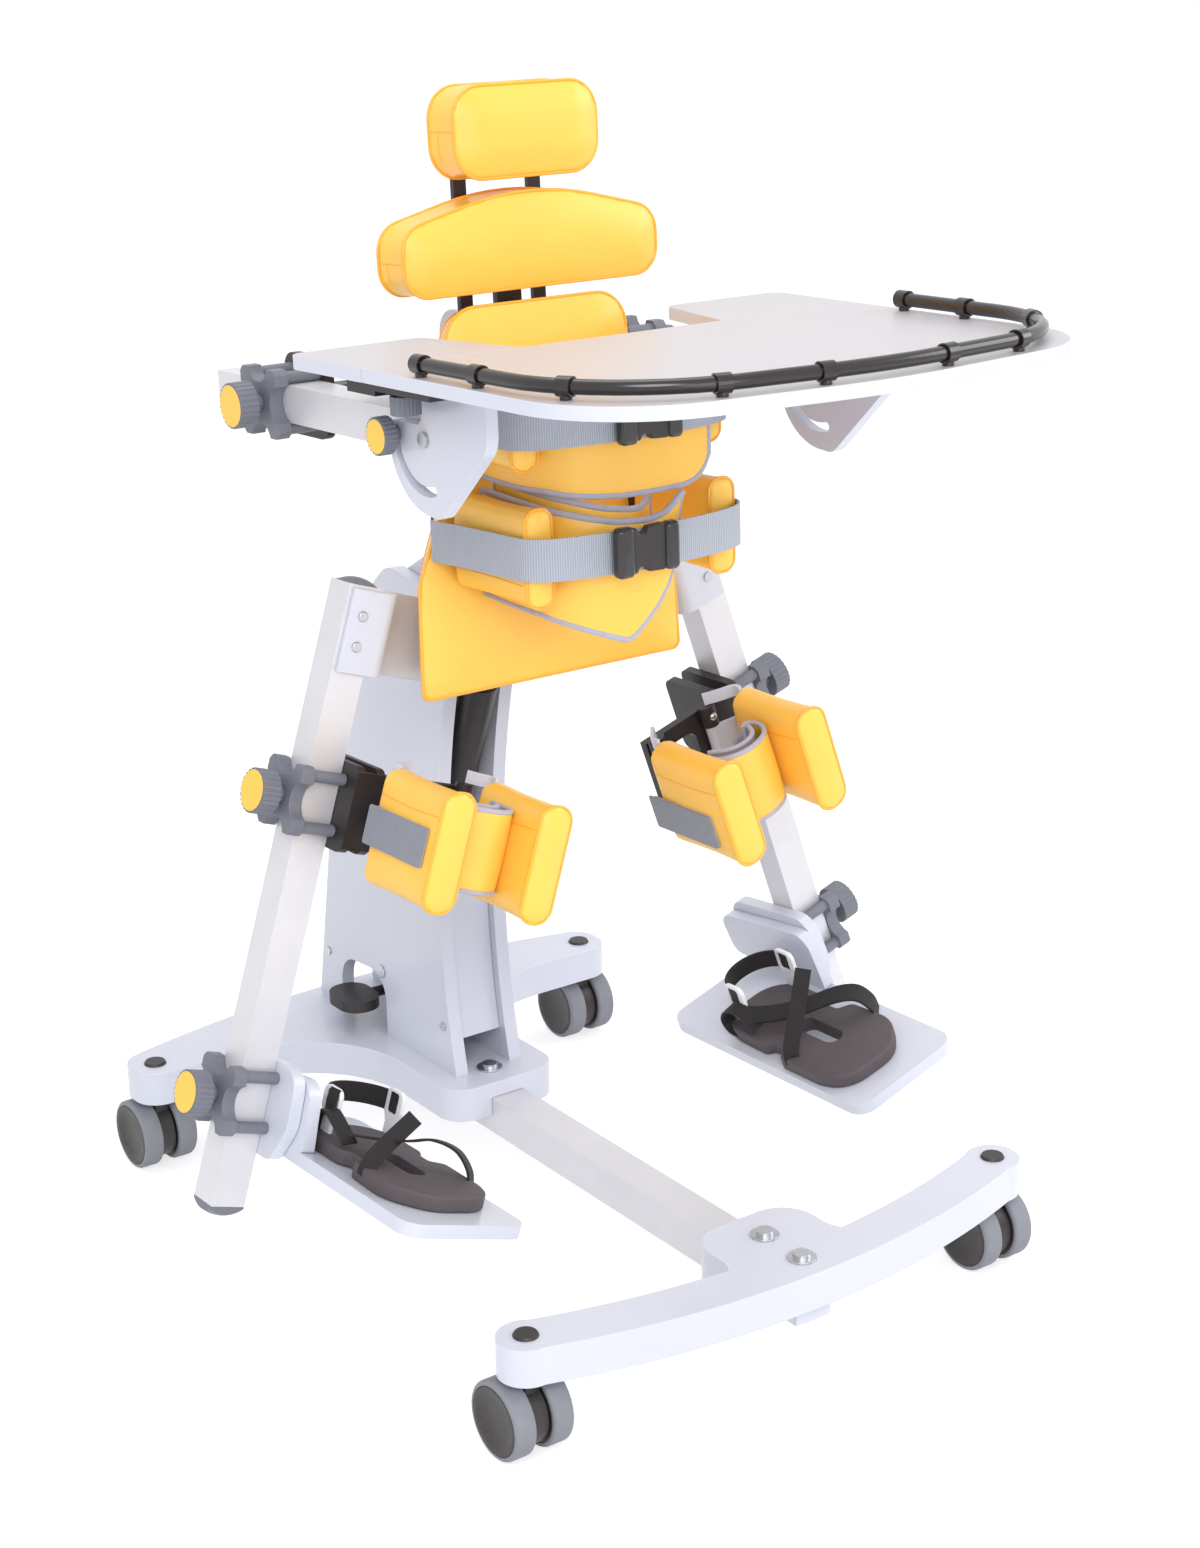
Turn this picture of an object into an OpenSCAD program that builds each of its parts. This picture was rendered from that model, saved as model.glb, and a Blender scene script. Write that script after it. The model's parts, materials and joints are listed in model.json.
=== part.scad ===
// Standing frame for a child: a base on four twin casters carries a column, a tilting mast with
// padded supports, two spreading leg tubes with knee and foot carriages, and a sliding tray.
// Millimetres. x points to the user's left, y to the back and z up from the floor.

/* [Base] */
// Distance between the left and right caster stems
caster_track = 560; // [500:10:620]
// Distance between the rear and front caster stems
wheelbase = 705; // [670:5:740]
// Thickness of the painted base boards
board_t = 37; // [30:1:44]
// Width of the curved front bar
bar_width = 50; // [44:1:60]
// Radius of the front bar's middle line
bar_radius = 875; // [700:25:1200]
// Width of the front bar's rear lobe, which is bolted to the spine
lobe_width = 124; // [100:2:150]
// Width of the rear base's forward stem
stem_width = 136; // [120:2:150]
// Reach of the forward stem in front of the rear caster stems
stem_reach = 263; // [250:1:275]
// Depth of the rear base's side arms
arm_depth = 65; // [58:1:75]
// Radius of the rear base's back edge
rear_edge_radius = 1050; // [800:50:1500]
// Width and height of the square spine tube
spine_size = 40; // [34:1:46]
// Wall of the spine tube
spine_wall = 3; // [2:0.5:5]

/* [Casters] */
// Height of the base boards' underside above the floor
caster_height = 80; // [78:1:90]
// Diameter of each caster wheel
wheel_d = 75; // [65:1:76]
// Width of each caster wheel
wheel_w = 22; // [16:1:26]
// Space between the two wheels of a caster
wheel_space = 18; // [16:1:24]
// Horizontal distance from the stem to the axle
caster_trail = 8; // [4:1:14]
// Diameter of the caster stem
caster_stem_d = 11; // [9:1:14]
// Diameter of the caster axle
axle_d = 8; // [6:1:10]
// Diameter of the round cap on top of each stem
stem_cap_d = 24; // [18:1:30]

/* [Column] */
// Clear width between the two column plates
column_gap = 53; // [49:1:60]
// Thickness of a column plate
column_plate_t = 15; // [12:1:20]
// Depth of the column foot from front to back
column_foot = 284; // [270:2:300]
// Height of the tilt axle above the floor
tilt_z = 610; // [600:2:620]
// Diameter of the tilt axle
tilt_axle_d = 20; // [16:1:26]
// Thickness of the front and rear column panels
panel_t = 8; // [6:1:12]
// Diameter of the gas strut's cylinder
strut_d = 40; // [32:1:44]
// Diameter of the gas strut's rod
strut_rod_d = 12; // [10:1:16]

/* [Mast] */
// Backward tilt of the mast as shown
recline = 1.95; // [0:0.05:4]
// Thickness of a mast plate
mast_plate_t = 12; // [10:1:14]
// Height of the mast's top above the floor, before the tilt
mast_top = 926; // [916:2:940]
// Lean of the pads against the mast
pad_lean = 1.5; // [0.5:0.1:3]
// Height of the hip beam's middle
hip_z = 615; // [611:1:619]
// Distance between the two hip pins
hip_span = 176; // [160:2:190]
// Diameter of the hip pins
hip_pin_d = 16; // [12:1:20]

/* [Pads] */
// Half width of the back pad at its foot
back_pad_foot = 152; // [144:1:158]
// Half width of the back pad at its top
back_pad_top = 100; // [92:1:106]
// Height of the back pad
back_pad_h = 361; // [350:1:370]
// Thickness of the back pad at its edges
back_pad_t = 44; // [38:1:48]
// Width of the shoulder pad
shoulder_w = 286; // [270:2:310]
// Height of the shoulder pad
shoulder_h = 80; // [70:1:86]
// Thickness of the shoulder pad at its edges
shoulder_t = 45; // [38:1:50]
// Width of the headrest
headrest_w = 160; // [140:2:180]
// Height of the headrest
headrest_h = 84; // [74:1:96]
// Thickness of the headrest at its edges
headrest_t = 44; // [38:1:50]
// Distance between the middles of the side pads
side_pad_span = 208; // [206:1:216]
// Thickness of the side pads
side_pad_t = 29; // [24:1:30]
// Width of the belts
belt_w = 39; // [30:1:45]

/* [Legs] */
// Spread of each leg as shown
abduction = 18.6; // [14:0.1:22]
// Distance from the hip pin to the leg tube's axis
leg_offset = 121.5; // [119:0.5:130]
// Length of the leg tube below the hip pin
leg_length = 563; // [548:1:600]
// Length of the leg tube above the hip pin
leg_rise = 43; // [41:1:60]
// Side to side width of the aluminium tubes
tube_w = 36; // [34:1:38]
// Front to back depth of the aluminium tubes
tube_d = 35; // [32:1:38]
// Wall of the aluminium tubes
tube_wall = 3; // [2:0.5:5]
// Thickness of the bent hip bracket
bracket_t = 5; // [4:0.5:6]
// Height of the bent hip bracket
bracket_h = 80; // [70:1:90]

/* [Clamps] */
// Diameter of a clamp's four bars
clamp_bar_d = 11.6; // [10:0.2:14]
// Distance between the bars along the tube
clamp_pitch = 49.6; // [44:0.4:56]
// Thickness of the crossed clamp head
clamp_t = 14; // [11:1:17]
// Diameter of a clamp knob
knob_d = 43; // [36:1:46]
// Thickness of a clamp knob
knob_t = 19; // [15:1:24]
// Diameter of a knob's threaded stud
stud_d = 8; // [6:1:10]

/* [Knees] */
// Distance down the leg from the hip pin to the knee clamp
knee_drop = 164; // [150:2:190]
// Distance from the tube's axis to the outer knee pad
outer_pad_in = 40; // [40:1:46]
// Distance from the tube's axis to the inner knee pad
inner_pad_in = 150; // [146:1:160]
// Thickness of a knee pad
knee_pad_t = 35; // [30:1:38]
// Height of a knee pad
knee_pad_h = 112; // [96:1:120]
// Depth of a knee pad without its crowned end
knee_pad_depth = 104; // [90:1:120]

/* [Feet] */
// Distance up the leg from the tube's lower end to the foot clamp
foot_rise = 106; // [95:1:125]
// Width of a foot plate
foot_plate_w = 136; // [126:1:146]
// Length of a foot plate
foot_plate_l = 314; // [300:1:330]
// Thickness of the painted foot and ankle plates
foot_board_t = 13; // [10:1:16]
// Thickness of the sandal's sole
sole_t = 20; // [14:1:24]

/* [Tray] */
// Height of the tray's top, before the tilt
tray_z = 923; // [920:1:932]
// Thickness of the tray boards
tray_t = 12; // [9:1:15]
// Distance from a tray arm's outer face to the tray's side edge
tray_overhang = 62; // [58:1:75]
// Depth of the main tray board at its middle
tray_depth = 373; // [350:1:395]
// Depth of the two rear wings
wing_depth = 122; // [100:2:130]
// Diameter of the edge rail
rail_d = 12.5; // [10:0.5:15]
// Height of the rail's middle above the tray
rail_rise = 10.5; // [9:0.5:16]
// Length of a tray arm
tray_arm_l = 410; // [400:2:440]
// Distance between the outer faces of the tray arms
arm_span = 426; // [420:1:430]
// Thickness of the slotted tilt plates
tilt_plate_t = 12; // [9:1:13]
// Radius of the tilt slot
tilt_slot_r = 45; // [42:1:48]

/* [Fits] */
// Radial clearance of turning pins
running_fit = 0.05; // [0.02:0.01:0.1]
// Gap between pieces that slide past each other
slide_gap = 0.4; // [0.3:0.05:0.6]
// Gap under a piece that is pressed or screwed on
seat_gap = 0.05; // [0.02:0.01:0.1]

/* [Hidden] */
$fn = 64;

// Finishes
paint = "#d9dce6";
yellow = "#ffc93c";
dark_grey = "#71747f";
black = "#343133";
bare_metal = "#e4e3e6";
steel = "#b9bcc2";
webbing = "#9aa0aa";

// Places on the base, with y counted from a datum 22 mm in front of the rear stems
rear_stem_y = 22;
front_stem_y = rear_stem_y - wheelbase;
stem_x = caster_track / 2;
board_top = caster_height + board_t;
bar_end_r = 27;
bar_centre_y = front_stem_y + sqrt(bar_radius * bar_radius - stem_x * stem_x);
bar_front_y = bar_centre_y - bar_radius - bar_width / 2;
lobe_y = bar_front_y + 124;
rear_front_y = rear_stem_y - stem_reach;
arm_front_y = rear_stem_y - arm_depth / 2 + 3;
base_half_w = stem_x + bar_end_r;
rear_y = arm_front_y + arm_depth + base_half_w * base_half_w / (2 * rear_edge_radius) - 8;
spine_z = board_top - 17 - spine_size;
spine_front_y = bar_front_y + 17;
spine_rear_y = rear_front_y + 170;
spine_cap_t = 4;
lobe_bolt_y = [bar_front_y + 30, bar_front_y + 84];
stem_bolt_y = rear_front_y + 34;
bolt_d = 8;
washer_d = 28;
washer_t = 2;
head_d = 17;
head_t = 4;

// Places in the column
column_front_y = rear_front_y + 35;
column_rear_y = column_front_y + column_foot;
tilt_y = column_front_y + 76;
column_half = column_gap / 2;
column_outer = column_half + column_plate_t;
edge_r = 931;
edge_z = board_top + 210;
edge_bow = 24;
edge_centre_y = column_front_y + edge_bow - edge_r;
side_screws = [[column_front_y + 23, board_top + 51], [column_rear_y - 24, board_top + 60]];
pedal_z = board_top + 31;
pedal_axis_y = column_front_y + 81;
pedal_pad_y = column_front_y + 186;
pedal_pin_d = 8;
strut_foot = [column_front_y + 146, board_top + 73];
strut_head = [tilt_y - 110, tilt_z + 12];
strut_arm = strut_head - [tilt_y, tilt_z];
strut_top = [tilt_y, tilt_z]
    + [strut_arm * [cos(recline), sin(recline)], strut_arm * [-sin(recline), cos(recline)]];
strut_len = norm(strut_top - strut_foot);
strut_angle = atan2(strut_foot[0] - strut_top[0], strut_top[1] - strut_foot[1]);
strut_pin_d = 10;
strut_body_l = 300;
strut_neck = 84;
strut_overlap = 150;
strut_play = 2.6;

// Places on the mast, before its tilt
mast_half = column_half - 0.5;
mast_inner = mast_half - mast_plate_t;
pad_z = 580;
pad_y = tilt_y - 170;
beam_d = 22;
beam_h = 48;
beam_y = pad_y + 23;
beam_half = hip_span / 2 + 30;
hip_x = hip_span / 2;
pin_head_d = 26;
pin_head_t = 4;
arm_x = arm_span / 2 - tube_w / 2;
arm_z = tray_z - 65;
clamp_y = tilt_y - 72;
cross_bar = 24;
cross_y = tilt_y - 108;
mast_rear_y = tilt_y - 75;
leg_y = beam_y - slide_gap - bracket_t / 2 - tube_d / 2;
crown = 8;
seam = 4;
headrest_v = 474;
shoulder_v = 373;
head_bar_w = 14;
head_bar_t = 6;
head_bar_x = 42;
head_bar_y = 10;
head_bar_v = 255;
guide_v = 290;
guide_h = 30;
hip_pad_z = hip_z + 118;
hip_pad_h = 90;
hip_pad_l = 124;
hip_pad_front = pad_y - 181;
chest_pad_z = arm_z - 8;
chest_pad_h = 80;
chest_pad_l = 108;
chest_pad_front = pad_y - 163;
side_x = side_pad_span / 2;
tongue_t = 6;
tongue_x = side_x - 9;
tongue_h = 24;
tongue_start = 40;
tongue_y = pad_y + (chest_pad_z - pad_z) * tan(pad_lean) + 1;
strap_t = 3;
sheet_t = 6;
sheet_rest = 5.4;
rest_gap = 0.3;

// Clamps: local x runs outward, z along the tube
clamp_bar_y = tube_d / 2 + clamp_bar_d / 2 + slide_gap;
clamp_bar_z = clamp_pitch / 2;
clamp_lip = 8.5;
head_x = tube_w / 2 + slide_gap;
knob_neck_d = 17;
knob_neck = 11;
inner_plate_t = 9;

// Knee carriage
knuckle_y = -52.5;
knuckle_d = 18;
knuckle_pin_d = 8;
knuckle_h = 84;
knuckle_mid = 39;
outer_knuckle_x = -(outer_pad_in + 28);
inner_knuckle_x = -(inner_pad_in - 15);
cross_t = 10;
cross_y0 = -45;
knee_pad_y = -82;
knee_pad_sink = 4;
blade_t = 4;

// Foot carriage
foot_drop = leg_length - foot_rise;
ankle_x = -(head_x + foot_board_t);
foot_x = ankle_x - 0.5;
foot_top = -32.6;
ankle_axis = [-20, -3];
foot_rear = 52;
sole_mid_x = foot_x - foot_plate_w / 2 - 4;

// Tray
seam_y = tilt_y - 342;
tray_half_w = arm_span / 2 + tray_overhang;
tray_low = tray_z - tray_t;
tilt_axis_y = seam_y - 16;
tilt_plate_x = arm_span / 2 + slide_gap + 0.2;
tilt_plate_r = 66.5;
tilt_pin_d = 8;
tilt_knob_d = 34;
tilt_knob_t = 12.5;
tilt_spacer_t = 8;
wing_bar_w = 28;
wing_bar_t = 9;
wing_grip_t = 14;
wing_bar_gap = 6.4;
wing_bar_x = tilt_plate_x + tilt_plate_t + wing_bar_gap;
wing_travel = 40;
wing_stud_y = seam_y - 22;
wing_knob_d = 27;
wing_knob_t = 16;
wing_insert = tray_t - 4;
corner_x = tray_half_w - 3;
corner_y = seam_y - tray_depth + 34;
front_y = seam_y - tray_depth;
nose_r = 500;
nose_sag = nose_r / cos(atan2(corner_y - front_y, corner_x)) - nose_r;
rail_in = 9;
rail_end_y = seam_y - 72;
clip_d = rail_d + 4;
clip_l = 13;
post_d = 10;

// The origin lies under the middle of the whole frame
front_reach = tilt_y + (front_y + nose_sag - tilt_y) * cos(recline) + (tray_low - tilt_z) * sin(recline);
origin_y = -(front_reach + rear_y) / 2;

// Outlines: points are [x, y] or [x, y, corner radius]
function flat(p) = [p[0], p[1]];
function unit(v) = v / norm(v);
function corner_r(p) = is_undef(p[2]) ? 0 : p[2];
function turn(d) = d > 180 ? d - 360 : d < -180 ? d + 360 : d;
// Centre and two ends of the round that fills the corner b between a and c
function fillet(a, b, c, r) =
    let (u = unit(flat(a) - flat(b)), w = unit(flat(c) - flat(b)), half = acos(u * w) / 2)
    [flat(b) + unit(u + w) * r / sin(half), flat(b) + u * r / tan(half), flat(b) + w * r / tan(half)];
function arc(centre, from, to, n) =
    let (r = norm(from - centre), s = atan2(from[1] - centre[1], from[0] - centre[0]),
         d = turn(atan2(to[1] - centre[1], to[0] - centre[0]) - s))
    [for (i = [0 : n]) centre + r * [cos(s + d * i / n), sin(s + d * i / n)]];
function corner(a, b, c, n) =
    corner_r(b) == 0 ? [flat(b)] : let (f = fillet(a, b, c, corner_r(b))) arc(f[0], f[1], f[2], n);
function rounded(pts, n = 7) =
    let (k = len(pts)) [for (i = [0 : k - 1]) each corner(pts[(i + k - 1) % k], pts[i], pts[(i + 1) % k], n)];
function rounded_box(w, h, r, n = 7) =
    rounded([[-w / 2, -h / 2, r], [w / 2, -h / 2, r], [w / 2, h / 2, r], [-w / 2, h / 2, r]], n);
// Adds points to long edges
function dense(pts, step) =
    let (k = len(pts))
    [for (i = [0 : k - 1]) let (a = pts[i], b = pts[(i + 1) % k], m = ceil(norm(b - a) / step))
        for (j = [0 : m - 1]) a + (b - a) * j / m];
function band(a, b, t) =
    let (u = unit(b - a), s = [-u[1], u[0]] * t / 2) [a + s, a - s, b - s, b + s];
function ellipse(rx, ry, from, to, n) =
    [for (i = [0 : n]) let (q = from + (to - from) * i / n) [rx * cos(q), ry * sin(q)]];

// Extrusions of a flat shape: its x and y become the two named axes
module yz_slab(x, t) translate([x, 0, 0]) rotate([90, 0, 90]) linear_extrude(t) children();
module xz_slab(y, t) translate([0, y + t, 0]) rotate([90, 0, 0]) linear_extrude(t) children();
module xy_slab(z, t) translate([0, 0, z]) linear_extrude(t) children();
module x_rod(d, from, to) translate([from, 0, 0]) rotate([0, 90, 0]) cylinder(d = d, h = to - from);
module y_rod(d, from, to) translate([0, to, 0]) rotate([90, 0, 0]) cylinder(d = d, h = to - from);
module block(low, high) translate(low) cube(high - low);
module pair() {
    children();
    mirror([1, 0, 0]) children();
}
module on_side(s) {
    if (s > 0) children();
    else mirror([1, 0, 0]) children();
}

// Stuffed form: the outline swells through the given [height, x scale, y scale] rings to a crown
module stuffed(outline, rings, top) {
    n = len(outline);
    m = len(rings);
    body = [for (r = rings) for (p = outline) [p[0] * r[1], p[1] * r[2], r[0]]];
    ends = [[0, 0, rings[0][0]], [0, 0, top]];
    sides = [for (i = [0 : m - 2]) for (j = [0 : n - 1]) let (k = (j + 1) % n, a = i * n, b = a + n)
        each [[a + j, b + j, b + k], [a + j, b + k, a + k]]];
    back = [for (j = [0 : n - 1]) [n * m, j, (j + 1) % n]];
    front = [for (j = [0 : n - 1]) let (a = (m - 1) * n) [n * m + 1, a + (j + 1) % n, a + j]];
    polyhedron(concat(body, ends), concat(sides, back, front));
}
// Cushion with a flat back, drawn-in sides between two seams and a crowned front
module cushion(outline, w, h, t, rise) {
    in_x = 1 - 2 * seam / w;
    in_y = 1 - 2 * seam / h;
    waist_x = 1 - seam / w;
    waist_y = 1 - seam / h;
    stuffed(outline, [
        [0, in_x, in_y], [seam, 1, 1], [t / 2, waist_x, waist_y], [t - seam, 1, 1],
        [t, in_x, in_y], [t + rise * 0.55, 0.78, 0.74], [t + rise * 0.9, 0.45, 0.42]
    ], t + rise);
}

// Frames of reference
module plan() translate([0, origin_y, 0]) children();
module mast() plan() translate([0, tilt_y, tilt_z]) rotate([-recline, 0, 0])
    translate([0, -tilt_y, -tilt_z]) children();
module pad_plane() mast() translate([0, pad_y, pad_z]) rotate([-pad_lean, 0, 0]) children();
module leg(s) mast() on_side(s) translate([hip_x, leg_y, hip_z]) rotate([0, -abduction, 0]) children();
module knee(s) leg(s) translate([leg_offset, 0, -knee_drop]) children();
module foot(s) leg(s) translate([leg_offset, 0, -foot_drop]) children();
module arm_clamp(s) mast() on_side(s) translate([arm_x, clamp_y, arm_z]) rotate([90, 0, 0]) children();
module tilt_side(s) mast() on_side(s) translate([0, tilt_axis_y, arm_z]) children();
module caster(x, y) plan() translate([x, y, 0]) children();
module strut() plan() translate([0, strut_foot[0], strut_foot[1]]) rotate([strut_angle, 0, 0]) children();

// Base
module spine_notch(from, to, grow) {
    half = spine_size / 2 + grow;
    block([-half, from, spine_z - grow], [half, to, spine_z + spine_size + grow]);
}
module stem_bores(y) {
    for (s = [-1, 1]) translate([s * stem_x, y, caster_height - 1])
        cylinder(d = caster_stem_d + 2 * running_fit, h = board_t + 2);
}
module bolt_holes(ys) {
    for (y = ys) translate([0, y, spine_z]) cylinder(d = bolt_d + 2 * slide_gap, h = board_top - spine_z + 1);
}
module rear_base() color(paint) plan() {
    back = [for (i = [0 : 16]) let (x = (stem_x - 5) * (1 - i / 8))
        [x, rear_y - x * x / (2 * rear_edge_radius)]];
    end_y = rear_y - base_half_w * base_half_w / (2 * rear_edge_radius);
    end_r = min(arm_depth, end_y - arm_front_y) / 2 - 1;
    half = stem_width / 2;
    throat = 130;
    outline = rounded(concat(
        [[-half, rear_front_y, 30], [half, rear_front_y, 30], [half, arm_front_y, throat],
         [base_half_w, arm_front_y, end_r], [base_half_w, end_y, end_r]],
        back,
        [[-base_half_w, end_y, end_r], [-base_half_w, arm_front_y, end_r],
         [-half, arm_front_y, throat]]), 12);
    difference() {
        xy_slab(caster_height, board_t) polygon(outline);
        spine_notch(rear_front_y - 1, spine_rear_y + spine_cap_t + 2 * seat_gap, seat_gap);
        stem_bores(rear_stem_y);
        bolt_holes([stem_bolt_y]);
    }
}
module front_bar() color(paint) plan() {
    lobe_half = lobe_width / 2;
    lobe_root = bar_front_y + bar_width / 2;
    throat = 30;
    wing_x = lobe_half + throat + 14;
    difference() {
        xy_slab(caster_height, board_t) {
            intersection() {
                translate([0, bar_centre_y]) difference() {
                    circle(bar_radius + bar_width / 2, $fn = 180);
                    circle(bar_radius - bar_width / 2, $fn = 180);
                }
                translate([-stem_x, bar_front_y - 1]) square([2 * stem_x, 2 * bar_width + 100]);
            }
            for (s = [-1, 1]) translate([s * stem_x, front_stem_y]) circle(bar_end_r);
            polygon(rounded([
                [-lobe_half, lobe_y, 36], [-lobe_half, lobe_root + 16, throat],
                [-wing_x, lobe_root + 16], [-wing_x, lobe_root],
                [wing_x, lobe_root], [wing_x, lobe_root + 16],
                [lobe_half, lobe_root + 16, throat], [lobe_half, lobe_y, 36]]));
        }
        spine_notch(spine_front_y - spine_cap_t - 2 * seat_gap, lobe_y + 1, seat_gap);
        stem_bores(front_stem_y);
        bolt_holes(lobe_bolt_y);
    }
}
module spine_tube() color(bare_metal) plan() {
    inside = spine_size / 2 - spine_wall;
    plug_l = 7;
    cap_t = spine_cap_t;
    difference() {
        spine_notch(spine_front_y, spine_rear_y, 0);
        block([-inside, spine_front_y - 1, spine_z + spine_wall],
              [inside, spine_rear_y + 1, spine_z + spine_size - spine_wall]);
        bolt_holes(concat(lobe_bolt_y, [stem_bolt_y]));
    }
    for (e = [[spine_front_y, -1], [spine_rear_y, 1]]) color(dark_grey) {
        near = min(e[0], e[0] + e[1] * cap_t);
        plug = min(e[0], e[0] - e[1] * plug_l);
        spine_cap = spine_size / 2;
        spine_mid = spine_z + spine_cap;
        fit = inside - slide_gap;
        union() {
            translate([0, e[1] * seat_gap, 0])
                block([-spine_cap, near, spine_z], [spine_cap, near + cap_t, spine_z + spine_size]);
            block([-fit, plug + (e[1] > 0 ? 0 : -1), spine_mid - fit],
                  [fit, plug + plug_l + (e[1] > 0 ? 1 : 0), spine_mid + fit]);
        }
    }
}
module base_bolt(y) translate([0, y, board_top]) {
    cylinder(d = washer_d, h = washer_t);
    translate([0, 0, washer_t]) cylinder(d = head_d, h = head_t);
    translate([0, 0, spine_z + spine_size - spine_wall - board_top - 4])
        cylinder(d = bolt_d, h = board_top - spine_z - spine_size + spine_wall + 4 + washer_t);
}
module base_fasteners() color(steel) plan() {
    for (y = concat(lobe_bolt_y, [stem_bolt_y])) base_bolt(y);
    translate([0, tilt_y, tilt_z]) {
        x_rod(tilt_axle_d, -column_outer, column_outer);
        pair() x_rod(tilt_axle_d + 10, column_outer, column_outer + head_t);
    }
    translate([0, strut_foot[0], strut_foot[1]]) {
        x_rod(strut_pin_d, -column_outer, column_outer);
        pair() x_rod(strut_pin_d + 5, column_outer, column_outer + 2);
    }
    for (p = side_screws) translate([0, p[0], p[1]]) pair() {
        x_rod(head_d / 2 + 1, column_outer, column_outer + 2);
    }
}

// Casters
module caster_housing(x, y) caster(x, y) color(black) {
    web = wheel_space - 3;
    collar_d = wheel_space - 1;
    hood_r = wheel_d / 2 - 7;
    axle_z = wheel_d / 2;
    union() {
        translate([0, caster_trail, axle_z]) {
            x_rod(2 * hood_r, -web / 2, web / 2);
            x_rod(axle_d, -wheel_space / 2 - wheel_w + 5, wheel_space / 2 + wheel_w - 5);
        }
        block([-web / 2, -collar_d / 2, axle_z], [web / 2, caster_trail + hood_r * 0.8, caster_height - 6]);
        translate([0, 0, caster_height - 8]) cylinder(d = collar_d, h = 8 - slide_gap);
        translate([0, 0, axle_z]) cylinder(d = caster_stem_d, h = board_top - axle_z - 8);
    }
    translate([0, 0, board_top - 8]) {
        cylinder(d = caster_stem_d, h = 8 + slide_gap);
        translate([0, 0, 8 + slide_gap]) cylinder(d1 = stem_cap_d, d2 = stem_cap_d - 3, h = 2.5);
    }
}
module caster_wheels(x, y) caster(x, y) translate([0, caster_trail, wheel_d / 2]) pair() {
    near = wheel_space / 2;
    tyre_t = 5;
    rim_d = wheel_d - 2 * tyre_t;
    dish = 3;
    color(black) difference() {
        x_rod(rim_d - 2 * seat_gap, near, near + wheel_w);
        translate([near + wheel_w - dish, 0, 0]) rotate([0, 90, 0])
            cylinder(d1 = rim_d - 26, d2 = rim_d - 8, h = dish + 0.01);
        x_rod(axle_d + 2 * running_fit, near - 1, near + wheel_w - 4.5);
    }
    color(dark_grey) translate([near, 0, 0]) rotate([0, 90, 0]) rotate_extrude()
        polygon(rounded([
            [rim_d / 2, 0], [wheel_d / 2, 0, 3.5], [wheel_d / 2, wheel_w, 3.5], [rim_d / 2, wheel_w]], 5));
}

// Column
function front_edge(from, to, n) = [for (i = [0 : n]) let (z = from + (to - from) * i / n)
    [edge_centre_y + sqrt(edge_r * edge_r - (z - edge_z) * (z - edge_z)), z]];
function between_ends(v) = [for (i = [1 : len(v) - 2]) v[i]];
function shifted(v, d) = [for (p = v) [p[0] + d, p[1]]];
function reversed(v) = [for (i = [len(v) - 1 : -1 : 0]) v[i]];
module column_outline() {
    top = tilt_z + 46;
    polygon(concat(
        rounded([
            [column_front_y + 1, board_top], [column_rear_y, board_top, 6],
            [column_rear_y - 58, board_top + 313, 160], [tilt_y + 72, tilt_z + 6, 60],
            [tilt_y + 28, top, 34], [tilt_y - 62, top - 12, 30],
            [edge_centre_y + edge_r - edge_bow, edge_z + 210]]),
        front_edge(edge_z + 208, board_top, 20)));
}
module pedal_arch() {
    arch_w = 94;
    arch_h = 72;
    arch_y = pedal_pad_y;
    polygon(rounded([
        [arch_y - arch_w / 2, board_top - 1], [arch_y + arch_w / 2, board_top - 1],
        [arch_y + arch_w / 2, board_top + arch_h - 8, 30], [arch_y - arch_w / 2, board_top + arch_h, 30]]));
}
module column_plates() color(paint) plan() pair() difference() {
    yz_slab(column_half, column_plate_t) difference() {
        column_outline();
        pedal_arch();
    }
    translate([0, tilt_y, tilt_z]) x_rod(tilt_axle_d + 2 * seat_gap, 0, column_outer + 1);
    translate([0, strut_foot[0], strut_foot[1]]) x_rod(strut_pin_d + 2 * seat_gap, 0, column_outer + 1);
    translate([0, pedal_axis_y, pedal_z]) x_rod(pedal_pin_d + 2 * running_fit, 0, column_outer - 4);
}
module column_panels() color(paint) plan() {
    recess = 10;
    low = board_top + 33;
    high = board_top + 200;
    rear_low = [column_rear_y - 24, board_top + 80];
    rear_high = [column_rear_y - 62, board_top + 285];
    face = front_edge(low, high, 10);
    yz_slab(-column_half, column_gap)
        polygon(concat(shifted(face, recess), reversed(shifted(face, recess + panel_t))));
    yz_slab(-column_half, column_gap) polygon(band(rear_low, rear_high, panel_t));
}
module foot_pedal() color(black) plan() {
    pad_l = 62;
    pad_w = 46;
    pad_t = 12;
    lever = 12;
    hub_d = 20;
    pad_x = column_outer + pad_w / 2 - 10;
    union() {
        translate([0, pedal_axis_y, pedal_z]) {
            x_rod(hub_d, -column_half + slide_gap, column_half - slide_gap);
            x_rod(pedal_pin_d, -column_outer + 5, column_outer - 5);
        }
        block([-lever, pedal_axis_y, pedal_z - lever / 2], [lever, pedal_pad_y, pedal_z + lever / 2]);
        translate([0, pedal_pad_y, pedal_z]) x_rod(lever, -pad_x, pad_x);
        pair() xy_slab(pedal_z - pad_t / 2, pad_t) translate([pad_x, pedal_pad_y])
            polygon(rounded_box(pad_w, pad_l, pad_w / 2 - 1, 10));
    }
}
module strut_rod() color(steel) strut() difference() {
    union() {
        x_rod(strut_pin_d + 16, -11, 11);
        translate([0, 0, 8]) cylinder(d = strut_rod_d, h = strut_len - strut_body_l + strut_overlap - 8);
    }
    x_rod(strut_pin_d + 2 * running_fit, -12, 12);
}
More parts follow.
